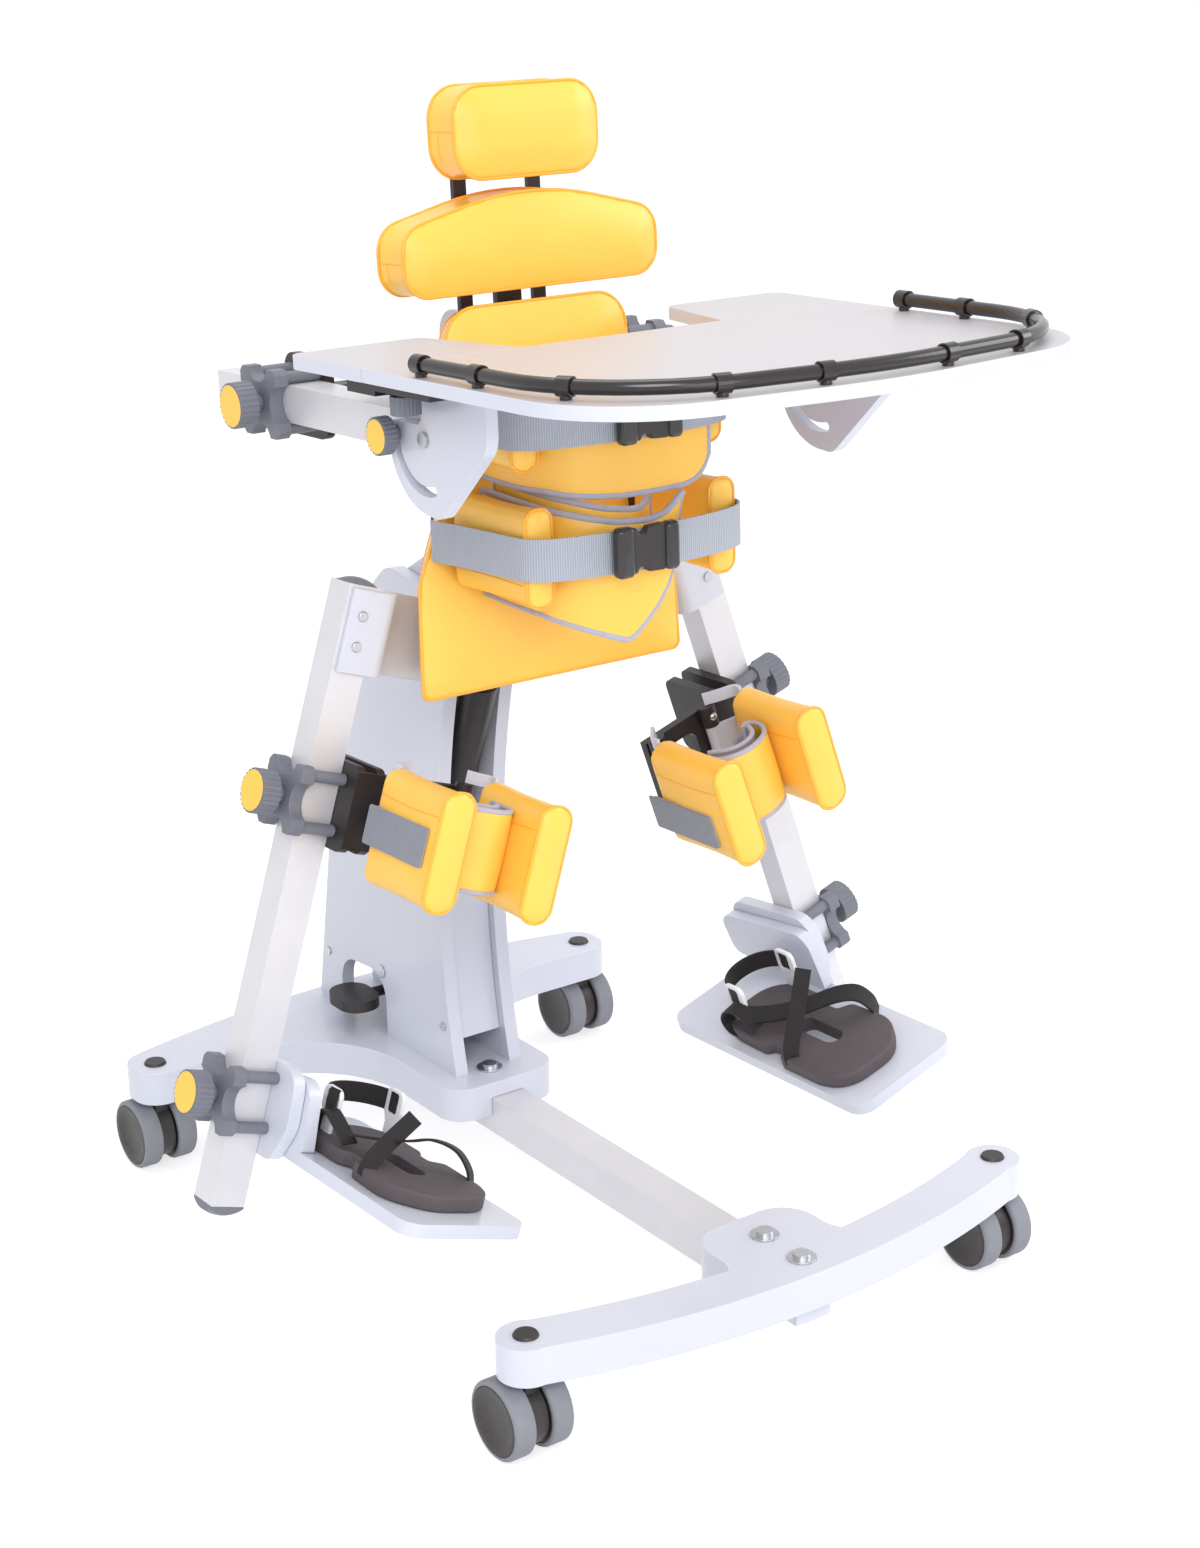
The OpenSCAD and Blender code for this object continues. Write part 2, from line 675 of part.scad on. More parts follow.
module strut_cylinder() color(black) strut() translate([0, 0, strut_len]) difference() {
    eye = 16;
    union() {
        x_rod(strut_pin_d + eye, -eye / 2, eye / 2);
        translate([0, 0, -strut_neck]) cylinder(d = strut_rod_d + 4, h = strut_neck - eye / 2);
        translate([0, 0, -strut_body_l]) cylinder(d = strut_d, h = strut_body_l - strut_neck);
    }
    x_rod(strut_pin_d + 2 * strut_play, -eye, eye);
    translate([0, 0, -strut_body_l - 1]) cylinder(d = strut_rod_d + 2 * running_fit, h = strut_overlap + 40);
}

// Mast
module mast_outline() {
    top_front = pad_y + (mast_top - pad_z) * tan(pad_lean);
    polygon(rounded([
        [tilt_y + 38, tilt_z - 34, 32], [tilt_y + 36, tilt_z + 30, 30], [mast_rear_y + 13, tilt_z + 82, 60],
        [mast_rear_y, mast_top, 24], [top_front, mast_top, 14], [pad_y, pad_z, 4],
        [pad_y + 34, pad_z - 16, 20]]));
}
module mast_plates() color(paint) mast() pair() difference() {
    yz_slab(mast_inner, mast_plate_t) difference() {
        mast_outline();
        translate([beam_y - 60, hip_z - beam_h / 2]) square([60 + beam_d, beam_h]);
        translate([cross_y, arm_z - cross_bar / 2]) square([cross_bar, cross_bar]);
    }
    translate([0, tilt_y, tilt_z]) x_rod(tilt_axle_d + 2 * running_fit, 0, column_half);
    translate([0, strut_head[0], strut_head[1]]) x_rod(strut_pin_d + 2 * seat_gap, 0, column_half);
}
// Steel tongue that reaches through the back pad into a side pad
module side_tongue(z, front, grow) {
    half_t = tongue_t / 2 + grow;
    half_h = tongue_h / 2 + grow;
    block([tongue_x - half_t, front + tongue_start - grow, z - half_h],
          [tongue_x + half_t, tongue_y - seat_gap + grow, z + half_h]);
}
module side_bracket(z, front) {
    half_h = tongue_h / 2;
    side_tongue(z, front, 0);
    block([mast_half, tongue_y, z - half_h], [tongue_x + tongue_t / 2, tongue_y + tongue_t, z + half_h]);
}
module mast_frame() color(black) {
    mast() {
        union() {
            block([-beam_half, beam_y, hip_z - beam_h / 2], [beam_half, beam_y + beam_d, hip_z + beam_h / 2]);
            pin_end = beam_y - bracket_t - 2 * slide_gap;
            pair() translate([hip_x, 0, hip_z]) {
                y_rod(hip_pin_d, pin_end, beam_y + 1);
                y_rod(pin_head_d, pin_end - pin_head_t, pin_end);
            }
        }
        block([-arm_x + head_x + inner_plate_t, cross_y, arm_z - cross_bar / 2],
              [arm_x - head_x - inner_plate_t, cross_y + cross_bar, arm_z + cross_bar / 2]);
        translate([0, strut_head[0], strut_head[1]]) x_rod(strut_pin_d, -mast_half, mast_half);
        pair() {
            side_bracket(hip_pad_z, hip_pad_front);
            side_bracket(chest_pad_z, chest_pad_front);
        }
    }
    pad_plane() {
        board_t = 8;
        board_v = 300;
        board_x = shoulder_w / 2 - 70;
        union() {
            block([-mast_inner, 0, board_v], [mast_inner, board_t, shoulder_v + shoulder_h - 20]);
            block([-board_x, 0, shoulder_v + 14], [board_x, board_t, shoulder_v + shoulder_h - 20]);
        }
        pair() difference() {
            wall = 5;
            bar_half = head_bar_w / 2;
            gap = slide_gap;
            block([mast_half, head_bar_y - wall, guide_v],
                  [head_bar_x + bar_half + wall, head_bar_y + head_bar_t + wall, guide_v + guide_h]);
            block([head_bar_x - bar_half - gap, head_bar_y - gap, guide_v - 1],
                  [head_bar_x + bar_half + gap, head_bar_y + head_bar_t + gap, guide_v + guide_h + 1]);
        }
    }
}

// Pads
module back_pad() color(yellow) {
    taper_v = 112;
    waist = back_pad_top + 20;
    top_r = 34;
    half_h = back_pad_h / 2;
    t = back_pad_t;
    outline = dense(rounded([
        [-back_pad_foot, -half_h, 10], [back_pad_foot, -half_h, 10],
        [back_pad_foot - 4, taper_v - half_h, 30],
        [waist, taper_v + 60 - half_h, 60], [back_pad_top, half_h, top_r], [-back_pad_top, half_h, top_r],
        [-waist, taper_v + 60 - half_h, 60], [-back_pad_foot + 4, taper_v - half_h, 30]], 4), 40);
    in_x = 1 - seam / back_pad_foot;
    in_y = 1 - seam / half_h;
    difference() {
        pad_plane() translate([0, 0, half_h]) rotate([90, 0, 0]) stuffed(outline, [
            [0, 0.8, 0.95], [t / 2, 0.92, 0.98], [t - seam, 1, 1], [t, in_x, in_y],
            [t + crown * 0.55, 0.78, 0.78], [t + crown * 0.9, 0.45, 0.45]
        ], t + crown);
        mast() pair() {
            side_tongue(hip_pad_z, hip_pad_front, seat_gap);
            side_tongue(chest_pad_z, chest_pad_front, seat_gap);
        }
    }
}
module shoulder_pad() color(yellow) {
    half_w = shoulder_w / 2;
    half_h = shoulder_h / 2;
    end_drop = 18;
    arch = 17;
    outline = dense(rounded([
        [-half_w, -half_h, 26], [half_w, -half_h, 26], [half_w, half_h - end_drop, 28],
        [0, half_h + arch, 300], [-half_w, half_h - end_drop, 28]], 6), 30);
    pad_plane() translate([0, 0, shoulder_v + half_h]) rotate([90, 0, 0])
        cushion(outline, shoulder_w, shoulder_h, shoulder_t, crown);
}
module headrest_pad() color(yellow) {
    outline = dense(rounded_box(headrest_w, headrest_h, 30, 6), 24);
    pad_plane() translate([0, 0, headrest_v + headrest_h / 2]) rotate([90, 0, 0])
        cushion(outline, headrest_w, headrest_h, headrest_t, crown);
}
module headrest_bars() color(black) pad_plane() {
    board_x = headrest_w / 2 - 28;
    top = headrest_v + headrest_h - 20;
    union() {
        pair() block([head_bar_x - head_bar_w / 2, head_bar_y, head_bar_v],
                     [head_bar_x + head_bar_w / 2, head_bar_y + head_bar_t, top]);
        block([-board_x, 0, headrest_v + 18], [board_x, head_bar_y + 0.5, top]);
    }
}
// Box pad with a piped, crowned front end; it runs forward from y = 0
module box_pad(t, h, depth) {
    waist_x = 1 - seam / t;
    waist_y = 1 - seam / h;
    pipe = 1.5;
    outline = dense(rounded_box(t, h, t / 2 - 2, 5), 30);
    rotate([90, 0, 0]) stuffed(outline, [
        [0, waist_x, waist_y], [seam, 1, 1], [depth / 2, waist_x, waist_y], [depth - seam, 1, 1],
        [depth - seam / 2, 1 + 2 * pipe / t, 1 + 2 * pipe / h], [depth, 1, 1], [depth + seam / 2, 0.84, 0.95]
    ], depth + seam);
}
module side_pad(front, z, h, length) difference() {
    translate([side_x, front + length, z]) box_pad(side_pad_t, h, length - seam);
    side_tongue(z, front, seat_gap);
}
module side_pads() color(yellow) mast() pair() {
    side_pad(hip_pad_front, hip_pad_z, hip_pad_h, hip_pad_l);
    side_pad(chest_pad_front, chest_pad_z, chest_pad_h, chest_pad_l);
}
// Front of the back pad's edge at a height
function pad_face(z) = pad_y + (z - pad_z) * tan(pad_lean) - back_pad_t;
// Strip of thickness t along a path
function across(path, i) =
    let (n = len(path), u = unit(path[min(i + 1, n - 1)] - path[max(i - 1, 0)])) [-u[1], u[0]];
function strip(path, t) = concat(
    [for (i = [0 : len(path) - 1]) path[i] + across(path, i) * t / 2],
    [for (i = [len(path) - 1 : -1 : 0]) path[i] - across(path, i) * t / 2]);
// Padded sheet from the back pad's face, forward inside the right side pads and across the front
module wrap(x, back, front, end, low, high) {
    bend = 48;
    path = rounded([[-x, back], [-x, front, bend], [end, front]], 12);
    xy_slab(low, high - low) polygon(strip(path, sheet_t));
}
module belt(half_w, front, back, z) {
    corner = 22;
    t = strap_t;
    inner_w = half_w - t;
    outer = rounded([
        [half_w, back], [half_w, front, corner], [-half_w, front, corner], [-half_w, back],
        [-inner_w, back], [-inner_w, front + t, corner - t],
        [inner_w, front + t, corner - t], [inner_w, back]], 6);
    xy_slab(z - belt_w / 2, belt_w) polygon(outer);
}
module buckle(front, z) {
    w = 70;
    h = belt_w + 8;
    t = 13;
    xz_slab(front - t, t) translate([0, z]) difference() {
        polygon(rounded_box(w, h, 7));
        for (s = [-1, 1]) translate([5, s * (h / 2 + 1)]) circle(8);
    }
}
module harness() mast() {
    wrap_x = side_x - side_pad_t / 2 - 4;
    hip_front = hip_pad_front - seam - 3;
    chest_front = chest_pad_front - seam - 3;
    belt_half = side_x + side_pad_t / 2 + 2 + strap_t;
    belt_bow = 14;
    hip_swell = 2.9;
    chest_low = chest_pad_z - 70;
    hip_low = hip_pad_z - 88;
    hip_high = hip_pad_z + 28;
    vest_y = chest_pad_front - sheet_t - 3;
    shield_y = hip_pad_front - sheet_t;
    shield_x = wrap_x - 6;
    shield_end = 52;
    tip_x = -19;
    color(yellow) {
        wrap(wrap_x, pad_face(chest_low) - sheet_rest, vest_y, side_x - 12, chest_low, chest_pad_z + 20);
        intersection() {
            wrap(shield_x, pad_face(hip_low) - sheet_rest - 1, shield_y, shield_end, hip_low, hip_high);
            xz_slab(shield_y - sheet_t, pad_y - shield_y) polygon([
                [-shield_x - sheet_t, hip_low + 28], [tip_x, hip_low], [shield_end + 1, hip_low + 68],
                [shield_end + 1, hip_high], [-shield_x - sheet_t, hip_high]]);
        }
    }
    color(webbing) {
        belt(belt_half, hip_front - belt_bow, pad_face(hip_pad_z - belt_w / 2) - hip_swell, hip_pad_z);
        belt(belt_half, chest_front - belt_bow, pad_face(chest_pad_z - belt_w / 2) - rest_gap, chest_pad_z);
    }
    color(black) {
        translate([-11, -seat_gap, 0]) buckle(hip_front - belt_bow, hip_pad_z);
        translate([10, -seat_gap, 0]) buckle(chest_front - belt_bow, chest_pad_z);
    }
}

// Clamp moulding: a crossed head on the tube's outer face with four bars to the inner plate
module clamp_head() {
    half_y = clamp_bar_y + clamp_lip;
    half_z = clamp_bar_z + clamp_lip;
    bite_r = 18;
    bite = 13;
    difference() {
        intersection() {
            square([2 * half_y, 2 * half_z], center = true);
            circle(norm([clamp_bar_y, clamp_bar_z]) + clamp_lip);
        }
        for (s = [-1, 1]) {
            translate([s * (half_y + bite_r - bite), 0]) circle(bite_r);
            translate([0, s * (half_z + bite_r - bite)]) circle(bite_r);
        }
    }
}
module clamp() color(dark_grey) difference() {
    union() {
        yz_slab(head_x, clamp_t) clamp_head();
        for (y = [-1, 1], z = [-1, 1]) translate([0, y * clamp_bar_y, z * clamp_bar_z])
            x_rod(clamp_bar_d, -head_x + seat_gap, head_x + 2);
    }
    x_rod(stud_d + 2 * running_fit, head_x - 1, head_x + clamp_t + 1);
}
// Knob on the x axis: fluted grip, neck and stud in one, with a yellow cap disc
module knob(from, d, t, neck, stud_l) {
    flutes = 24;
    flute_d = 3.2;
    cap_t = 2;
    cap_d = d - 4;
    flute_out = 0.7;
    color(dark_grey) difference() {
        union() {
            x_rod(d, from + neck, from + neck + t);
            x_rod(min(knob_neck_d, d - 12), from, from + neck + 1);
            x_rod(stud_d, from - stud_l, from + 1);
        }
        for (i = [0 : flutes - 1]) rotate([i * 360 / flutes, 0, 0]) translate([0, d / 2 + flute_out, 0])
            x_rod(flute_d, from + neck - 1, from + neck + t + 1, $fn = 16);
        x_rod(cap_d + 2 * seat_gap, from + neck + t - cap_t, from + neck + t + 1);
    }
    color(yellow) x_rod(cap_d, from + neck + t - cap_t + seat_gap, from + neck + t + 0.6);
}
module clamp_knob() knob(head_x + clamp_t + slide_gap, knob_d, knob_t, knob_neck - slide_gap,
    clamp_t + slide_gap);

// Legs
module tube(z0, z1) difference() {
    in_w = tube_w / 2 - tube_wall;
    in_d = tube_d / 2 - tube_wall;
    block([-tube_w / 2, -tube_d / 2, z0], [tube_w / 2, tube_d / 2, z1]);
    block([-in_w, -in_d, z0 - 1], [in_w, in_d, z1 + 1]);
}
module tube_cap(rise) {
    plug = 12;
    fit_w = tube_w / 2 - tube_wall - slide_gap;
    fit_d = tube_d / 2 - tube_wall - slide_gap;
    dome_r = 34;
    union() {
        intersection() {
            block([-tube_w / 2, -tube_d / 2, 0], [tube_w / 2, tube_d / 2, rise]);
            translate([0, 0, rise - dome_r]) sphere(dome_r);
        }
        block([-fit_w, -fit_d, -plug], [fit_w, fit_d, 0.5]);
    }
}
module leg_tube(s) leg(s) translate([leg_offset, 0, 0]) {
    color(bare_metal) tube(-leg_length, leg_rise);
    color(dark_grey) {
        translate([0, 0, leg_rise + seat_gap]) tube_cap(6);
        translate([0, 0, -leg_length - seat_gap]) mirror([0, 0, 1]) tube_cap(13);
    }
}
module hip_bracket(s) leg(s) {
    front = -tube_d / 2;
    web_x = leg_offset - 39;
    rear = tube_d / 2 - bracket_t / 2;
    inner = -22;
    screw_d = 10;
    color(paint) difference() {
        xy_slab(-bracket_h / 2, bracket_h) polygon(rounded([
            [leg_offset + 14, front], [leg_offset + 14, front - bracket_t], [web_x, front - bracket_t, 14],
            [web_x, rear, 4], [inner, rear], [inner, rear + bracket_t],
            [web_x + bracket_t, rear + bracket_t, 9], [web_x + bracket_t, front, 9]]));
        y_rod(hip_pin_d + 2 * running_fit, rear - 1, rear + bracket_t + 1);
    }
    face = front - bracket_t - seat_gap;
    color(steel) for (z = [-14, 15]) translate([leg_offset, 0, z]) y_rod(screw_d, face - 2, face);
}

// Knee carriage
module knee_clamp(s) knee(s) clamp();
module knee_knob(s) knee(s) clamp_knob();
module knee_carrier(s) knee(s) color(black) {
    plate_h = 84;
    plate_rear = 40;
    channel_w = 31;
    cross_h = 74;
    cross_end = inner_knuckle_x - knuckle_d / 2;
    union() {
        for (x = [-head_x - inner_plate_t, -head_x - channel_w]) yz_slab(x, inner_plate_t) polygon(rounded([
            [cross_y0, -plate_h / 2, 10], [plate_rear, -plate_h / 2, 10],
            [plate_rear, plate_h / 2, 10], [cross_y0, plate_h / 2, 10]]));
        difference() {
            block([cross_end, cross_y0, -cross_h / 2], [-head_x - 1, cross_y0 + cross_t, cross_h / 2]);
            xz_slab(cross_y0 - 1, cross_t + 2) translate([(outer_knuckle_x + inner_knuckle_x) / 2, 0])
                polygon(rounded_box(34, 40, 10));
        }
        for (x = [outer_knuckle_x, inner_knuckle_x]) translate([x, knuckle_y, 0]) {
            translate([0, 0, -knuckle_h / 2]) cylinder(d = knuckle_pin_d, h = knuckle_h);
            for (e = [-1, 1]) translate([0, 0, e > 0 ? knuckle_mid / 2 : -knuckle_h / 2])
                cylinder(d = knuckle_d, h = (knuckle_h - knuckle_mid) / 2);
        }
    }
}
module knee_blade(from_x, to_x) color(paint) {
    blade_h = knuckle_mid - 2 * slide_gap;
    elbow = [to_x, knee_pad_y + 14];
    translate([0, 0, -blade_h / 2]) linear_extrude(blade_h) difference() {
        union() {
            translate([from_x, knuckle_y]) circle(d = knuckle_d - 4);
            polygon(band([from_x, knuckle_y - 4], elbow, blade_t));
            translate(elbow) circle(d = blade_t);
            polygon(band(elbow, [to_x, knee_pad_y], blade_t));
        }
        translate([from_x, knuckle_y]) circle(d = knuckle_pin_d + 2 * running_fit);
    }
}
module knee_pad(s, from_x, to_x) knee(s) {
    knee_blade(from_x, to_x);
    color(yellow) translate([to_x, knee_pad_y - seat_gap, -knee_pad_sink])
        box_pad(knee_pad_t, knee_pad_h, knee_pad_depth);
}
module knee_pad_outer(s) knee_pad(s, outer_knuckle_x, -outer_pad_in);
module knee_pad_inner(s) {
    knee_pad(s, inner_knuckle_x, -inner_pad_in);
    near = -inner_pad_in + (knee_pad_t - seam) / 2 + rest_gap;
    far = -outer_pad_in - knee_pad_t / 2 - 4;
    strap_h = 78;
    strap_r = (far - near) / 2;
    bow = 22;
    t = 5;
    knee(s) color(yellow) translate([(near + far) / 2, knee_pad_y - 52, -knee_pad_sink])
        xy_slab(-strap_h / 2, strap_h) polygon(concat(
            ellipse(strap_r, bow, 180, 360, 16), ellipse(strap_r - t, bow - t, 360, 180, 16)));
}

// Foot carriage
module foot_clamp(s) foot(s) {
    clamp();
    color(paint) yz_slab(ankle_x, foot_board_t) polygon(rounded([
        [83, 30, 22], [-56, 44, 24], [-60, -16, 40], [-40, -52, 16], [76, -52, 16]]));
    color(steel) translate([0, ankle_axis[0], ankle_axis[1]]) {
        x_rod(stud_d, foot_x - foot_board_t - 2, ankle_x - seat_gap);
        x_rod(stud_d + 6, foot_x - foot_board_t - 5, foot_x - foot_board_t - 2);
    }
}
module foot_knob(s) foot(s) clamp_knob();
module foot_plate(s) foot(s) color(paint) {
    difference() {
        yz_slab(foot_x - foot_board_t, foot_board_t) polygon(rounded([
            [90, 17, 16], [-64, 35, 22], [-74, foot_top, 4], [foot_rear, foot_top], [80, foot_top + 2, 14]]));
        translate([0, ankle_axis[0], ankle_axis[1]])
            x_rod(stud_d + 2 * running_fit, foot_x - foot_board_t - 1, foot_x + 1);
    }
    xy_slab(foot_top - foot_board_t, foot_board_t)
        translate([foot_x - foot_plate_w / 2, foot_rear - foot_plate_l / 2])
            polygon(rounded_box(foot_plate_w, foot_plate_l, 20));
}
module sandal(s) foot(s) color(black) translate([sole_mid_x, 0, foot_top + seat_gap]) {
    heel = -20;
    toe = -226;
    slot_y = -128;
    difference() {
        xy_slab(0, sole_t) polygon(rounded([
            [-42, heel, 38], [42, heel, 38], [40, heel - 60, 60], [56, heel - 116, 40],
            [54, toe + 34, 40], [22, toe, 40],
            [-44, toe + 4, 34], [-54, heel - 126, 50], [-42, heel - 60, 60]]));
        xy_slab(-1, sole_t + 2) translate([0, slot_y]) polygon(rounded_box(22, 60, 10));
    }
    translate([0, 0, sole_t + seat_gap]) {
        xz_slab(heel - 156, 26) sandal_strap(46, 30);
        xz_slab(heel - 78, 26) sandal_strap(34, 44);
        post_h = 54;
        post_w = 15;
        post_t = 4;
        band_h = 21;
        band_r = 37;
        in_r = band_r - strap_t;
        band_y = heel - 42;
        xy_slab(post_h - band_h - 4, band_h) translate([0, band_y])
            polygon(concat(ellipse(band_r, band_r, 0, 180, 20), ellipse(in_r, in_r, 180, 0, 20)));
        pair() block([band_r - post_t, band_y - post_w, 0], [band_r, band_y, post_h]);
    }
}
module sandal_strap(half_w, rise) polygon(concat(
    ellipse(half_w, rise, 0, 180, 20), ellipse(half_w - strap_t, rise - strap_t, 180, 0, 20)));

// Tray
module tray_clamps() for (s = [-1, 1]) arm_clamp(s) {
    clamp();
    color(black) yz_slab(-head_x - inner_plate_t, inner_plate_t) polygon(rounded_box(78, 78, 16));
}
module tray_arms() for (s = [-1, 1]) mast() on_side(s) {
    rear = tilt_y + 34;
    front = rear - tray_arm_l;
    translate([arm_x, 0, arm_z]) {
        color(bare_metal) difference() {
            rotate([90, 0, 0]) tube(-rear, -front);
            translate([0, tilt_axis_y + tilt_slot_r, 0]) x_rod(stud_d + 2 * running_fit, 0, tube_w);
        }
        color(dark_grey) {
            translate([0, rear + seat_gap, 0]) rotate([-90, 0, 0]) tube_cap(5);
            translate([0, front - seat_gap, 0]) rotate([90, 0, 0]) tube_cap(5);
        }
    }
    color(steel) translate([0, tilt_axis_y, arm_z]) {
        x_rod(tilt_pin_d, arm_span / 2 + seat_gap, tilt_plate_x + tilt_plate_t + 1);
        x_rod(tilt_pin_d + 6, tilt_plate_x + tilt_plate_t + slide_gap, tilt_plate_x + tilt_plate_t + 3);
    }
}
module tilt_slot() {
    half_w = (stud_d + 1) / 2;
    sweep = 104;
    far_end = tilt_slot_r * [cos(sweep), -sin(sweep)];
    polygon(concat(
        ellipse(tilt_slot_r + half_w, tilt_slot_r + half_w, 0, -sweep, 24),
        [for (p = between_ends(ellipse(half_w, half_w, -sweep, -sweep - 180, 10))) p + far_end],
        ellipse(tilt_slot_r - half_w, tilt_slot_r - half_w, -sweep, 0, 24),
        [for (p = between_ends(ellipse(half_w, half_w, 180, 0, 10))) p + [tilt_slot_r, 0]]));
}
module tilt_plates() color(paint) for (s = [-1, 1]) tilt_side(s) difference() {
    lobe = [-8, 0];
    shoulder = 12;
    neck_rear = 4;
    neck_front = -97;
    top = tray_low - arm_z;
    heel = [-20, -tilt_plate_r - 1, 16];
    rear = lobe[0] + tilt_plate_r;
    yz_slab(tilt_plate_x, tilt_plate_t) difference() {
        polygon(rounded(concat(
            [[neck_front, top], [neck_front, 2, 28], heel],
            [for (p = ellipse(tilt_plate_r, tilt_plate_r, 278, 360, 20)) p + lobe],
            [[rear, shoulder, 9], [neck_rear, shoulder, 8], [neck_rear, top]])));
        tilt_slot();
    }
    x_rod(tilt_pin_d + 2 * running_fit, tilt_plate_x - 1, tilt_plate_x + tilt_plate_t + 1);
}
module tilt_knob(s) tilt_side(s) translate([0, tilt_slot_r, 0])
    knob(tilt_plate_x + tilt_plate_t + slide_gap, tilt_knob_d, tilt_knob_t, tilt_spacer_t,
        tilt_plate_t + tube_wall + 6);
module arm_knob(s) arm_clamp(s) clamp_knob();
function board_outline() = rounded([
    [tray_half_w, seam_y], [-tray_half_w, seam_y], [-corner_x, corner_y, 115],
    [0, front_y, nose_r], [corner_x, corner_y, 115]], 14);
module tray_board() color(paint) mast() difference() {
    xy_slab(tray_low, tray_t) polygon(board_outline());
    pair() translate([wing_bar_x + wing_bar_w / 2, wing_stud_y, tray_low - 1])
        cylinder(d = stud_d + 2 * running_fit, h = wing_insert + 1.5);
}
module tray_wing(s) mast() on_side(s) {
    wing_gap = 0.5;
    rear = seam_y + wing_depth;
    color(paint) xy_slab(tray_low, tray_t) polygon(rounded([
        [tray_half_w - 163, seam_y + wing_gap], [tray_half_w, seam_y + wing_gap],
        [tray_half_w + 3, rear, 16], [tray_half_w - 136, rear, 16]]));
    color(black) difference() {
        union() {
            block([wing_bar_x, wing_stud_y - wing_travel - 20, tray_low - slide_gap - wing_bar_t],
                  [wing_bar_x + wing_bar_w, seam_y + 50, tray_low - slide_gap]);
            block([wing_bar_x, seam_y + 4, tray_low - wing_grip_t],
                  [wing_bar_x + wing_bar_w, seam_y + 50, tray_low - seat_gap]);
        }
        xy_slab(tray_low - 2 * wing_bar_t, 3 * wing_bar_t)
            translate([wing_bar_x + wing_bar_w / 2, wing_stud_y - wing_travel / 2])
                polygon(rounded_box(stud_d + 1, wing_travel + stud_d + 1, stud_d / 2));
    }
}
module wing_knob(s) mast() on_side(s) translate([wing_bar_x + wing_bar_w / 2, wing_stud_y, tray_low])
    rotate([0, 90, 0]) knob(wing_bar_t + 2 * slide_gap, wing_knob_d, wing_knob_t, 2,
        wing_bar_t + 2 * slide_gap + wing_insert);
// The rail follows the board's edge a little way in
rail_half = tray_half_w - rail_in - 1;
rail_corner = [corner_x - rail_in - 2, corner_y + rail_in + 2, 145];
rail_nose = [0, front_y + rail_in + 2, nose_r];
module swept_rail(path) {
    sides = 14;
    n = len(path);
    points = [for (i = [0 : n - 1]) let (u = unit(path[min(i + 1, n - 1)] - path[max(i - 1, 0)]))
        for (j = [0 : sides - 1]) let (q = 360 * j / sides, r = rail_d / 2)
            [path[i][0] - u[1] * r * cos(q), path[i][1] + u[0] * r * cos(q), r * sin(q)]];
    skin = [for (i = [0 : n - 2]) for (j = [0 : sides - 1])
        let (k = (j + 1) % sides, a = i * sides, b = a + sides)
        each [[a + j, b + j, b + k], [a + j, b + k, a + k]]];
    ends = [[for (j = [0 : sides - 1]) j], [for (j = [sides - 1 : -1 : 0]) (n - 1) * sides + j]];
    polyhedron(points, concat(skin, ends));
}
module rail_clip(p, angle) translate(p) rotate(angle) difference() {
    union() {
        x_rod(clip_d, -clip_l / 2, clip_l / 2, $fn = 32);
        translate([0, 0, -rail_rise]) cylinder(d = post_d, h = rail_rise, $fn = 32);
    }
    x_rod(rail_d + 2 * slide_gap, -clip_l, clip_l, $fn = 32);
}
module tray_rail() color(black) mast() translate([0, 0, tray_z + rail_rise]) {
    start = [rail_half, rail_end_y];
    mirrored = [-rail_corner[0], rail_corner[1], rail_corner[2]];
    bend = corner(start, rail_corner, rail_nose, 10);
    nose = corner(rail_corner, rail_nose, mirrored, 6);
    half = concat([start], bend);
    swept_rail(concat(half, nose, [for (p = reversed(half)) [-p[0], p[1]]]));
    side_a = atan2(bend[0][1] - start[1], bend[0][0] - start[0]);
    front_a = atan2(nose[0][1] - bend[10][1], nose[0][0] - bend[10][0]);
    pair() {
        rail_clip(start + [0, -clip_l / 2 - 1], side_a);
        rail_clip(start + 0.69 * (bend[0] - start), side_a);
        rail_clip(bend[3], atan2(bend[4][1] - bend[2][1], bend[4][0] - bend[2][0]));
        rail_clip(bend[9], atan2(bend[10][1] - bend[8][1], bend[10][0] - bend[8][0]));
        rail_clip(nose[0], front_a);
    }
}

rear_base();
front_bar();
spine_tube();
base_fasteners();
column_plates();
column_panels();
caster_housing(stem_x, front_stem_y);  // caster_housing_fl
caster_housing(-stem_x, front_stem_y);  // caster_housing_fr
caster_housing(stem_x, rear_stem_y);  // caster_housing_rl
caster_housing(-stem_x, rear_stem_y);  // caster_housing_rr
caster_wheels(stem_x, front_stem_y);  // caster_wheels_fl
caster_wheels(-stem_x, front_stem_y);  // caster_wheels_fr
caster_wheels(stem_x, rear_stem_y);  // caster_wheels_rl
caster_wheels(-stem_x, rear_stem_y);  // caster_wheels_rr
foot_pedal();
strut_cylinder();
strut_rod();
mast_plates();
mast_frame();
back_pad();
shoulder_pad();
side_pads();
harness();
tray_clamps();
headrest_bars();
headrest_pad();
leg_tube(1);  // leg_tube_left
leg_tube(-1);  // leg_tube_right
hip_bracket(1);  // hip_bracket_left
hip_bracket(-1);  // hip_bracket_right
knee_clamp(1);  // knee_clamp_left
knee_clamp(-1);  // knee_clamp_right
knee_knob(1);  // knee_knob_left
knee_knob(-1);  // knee_knob_right
knee_carrier(1);  // knee_carrier_left
knee_carrier(-1);  // knee_carrier_right
knee_pad_outer(1);  // knee_pad_outer_left
knee_pad_outer(-1);  // knee_pad_outer_right
knee_pad_inner(1);  // knee_pad_inner_left
knee_pad_inner(-1);  // knee_pad_inner_right
foot_clamp(1);  // foot_clamp_left
foot_clamp(-1);  // foot_clamp_right
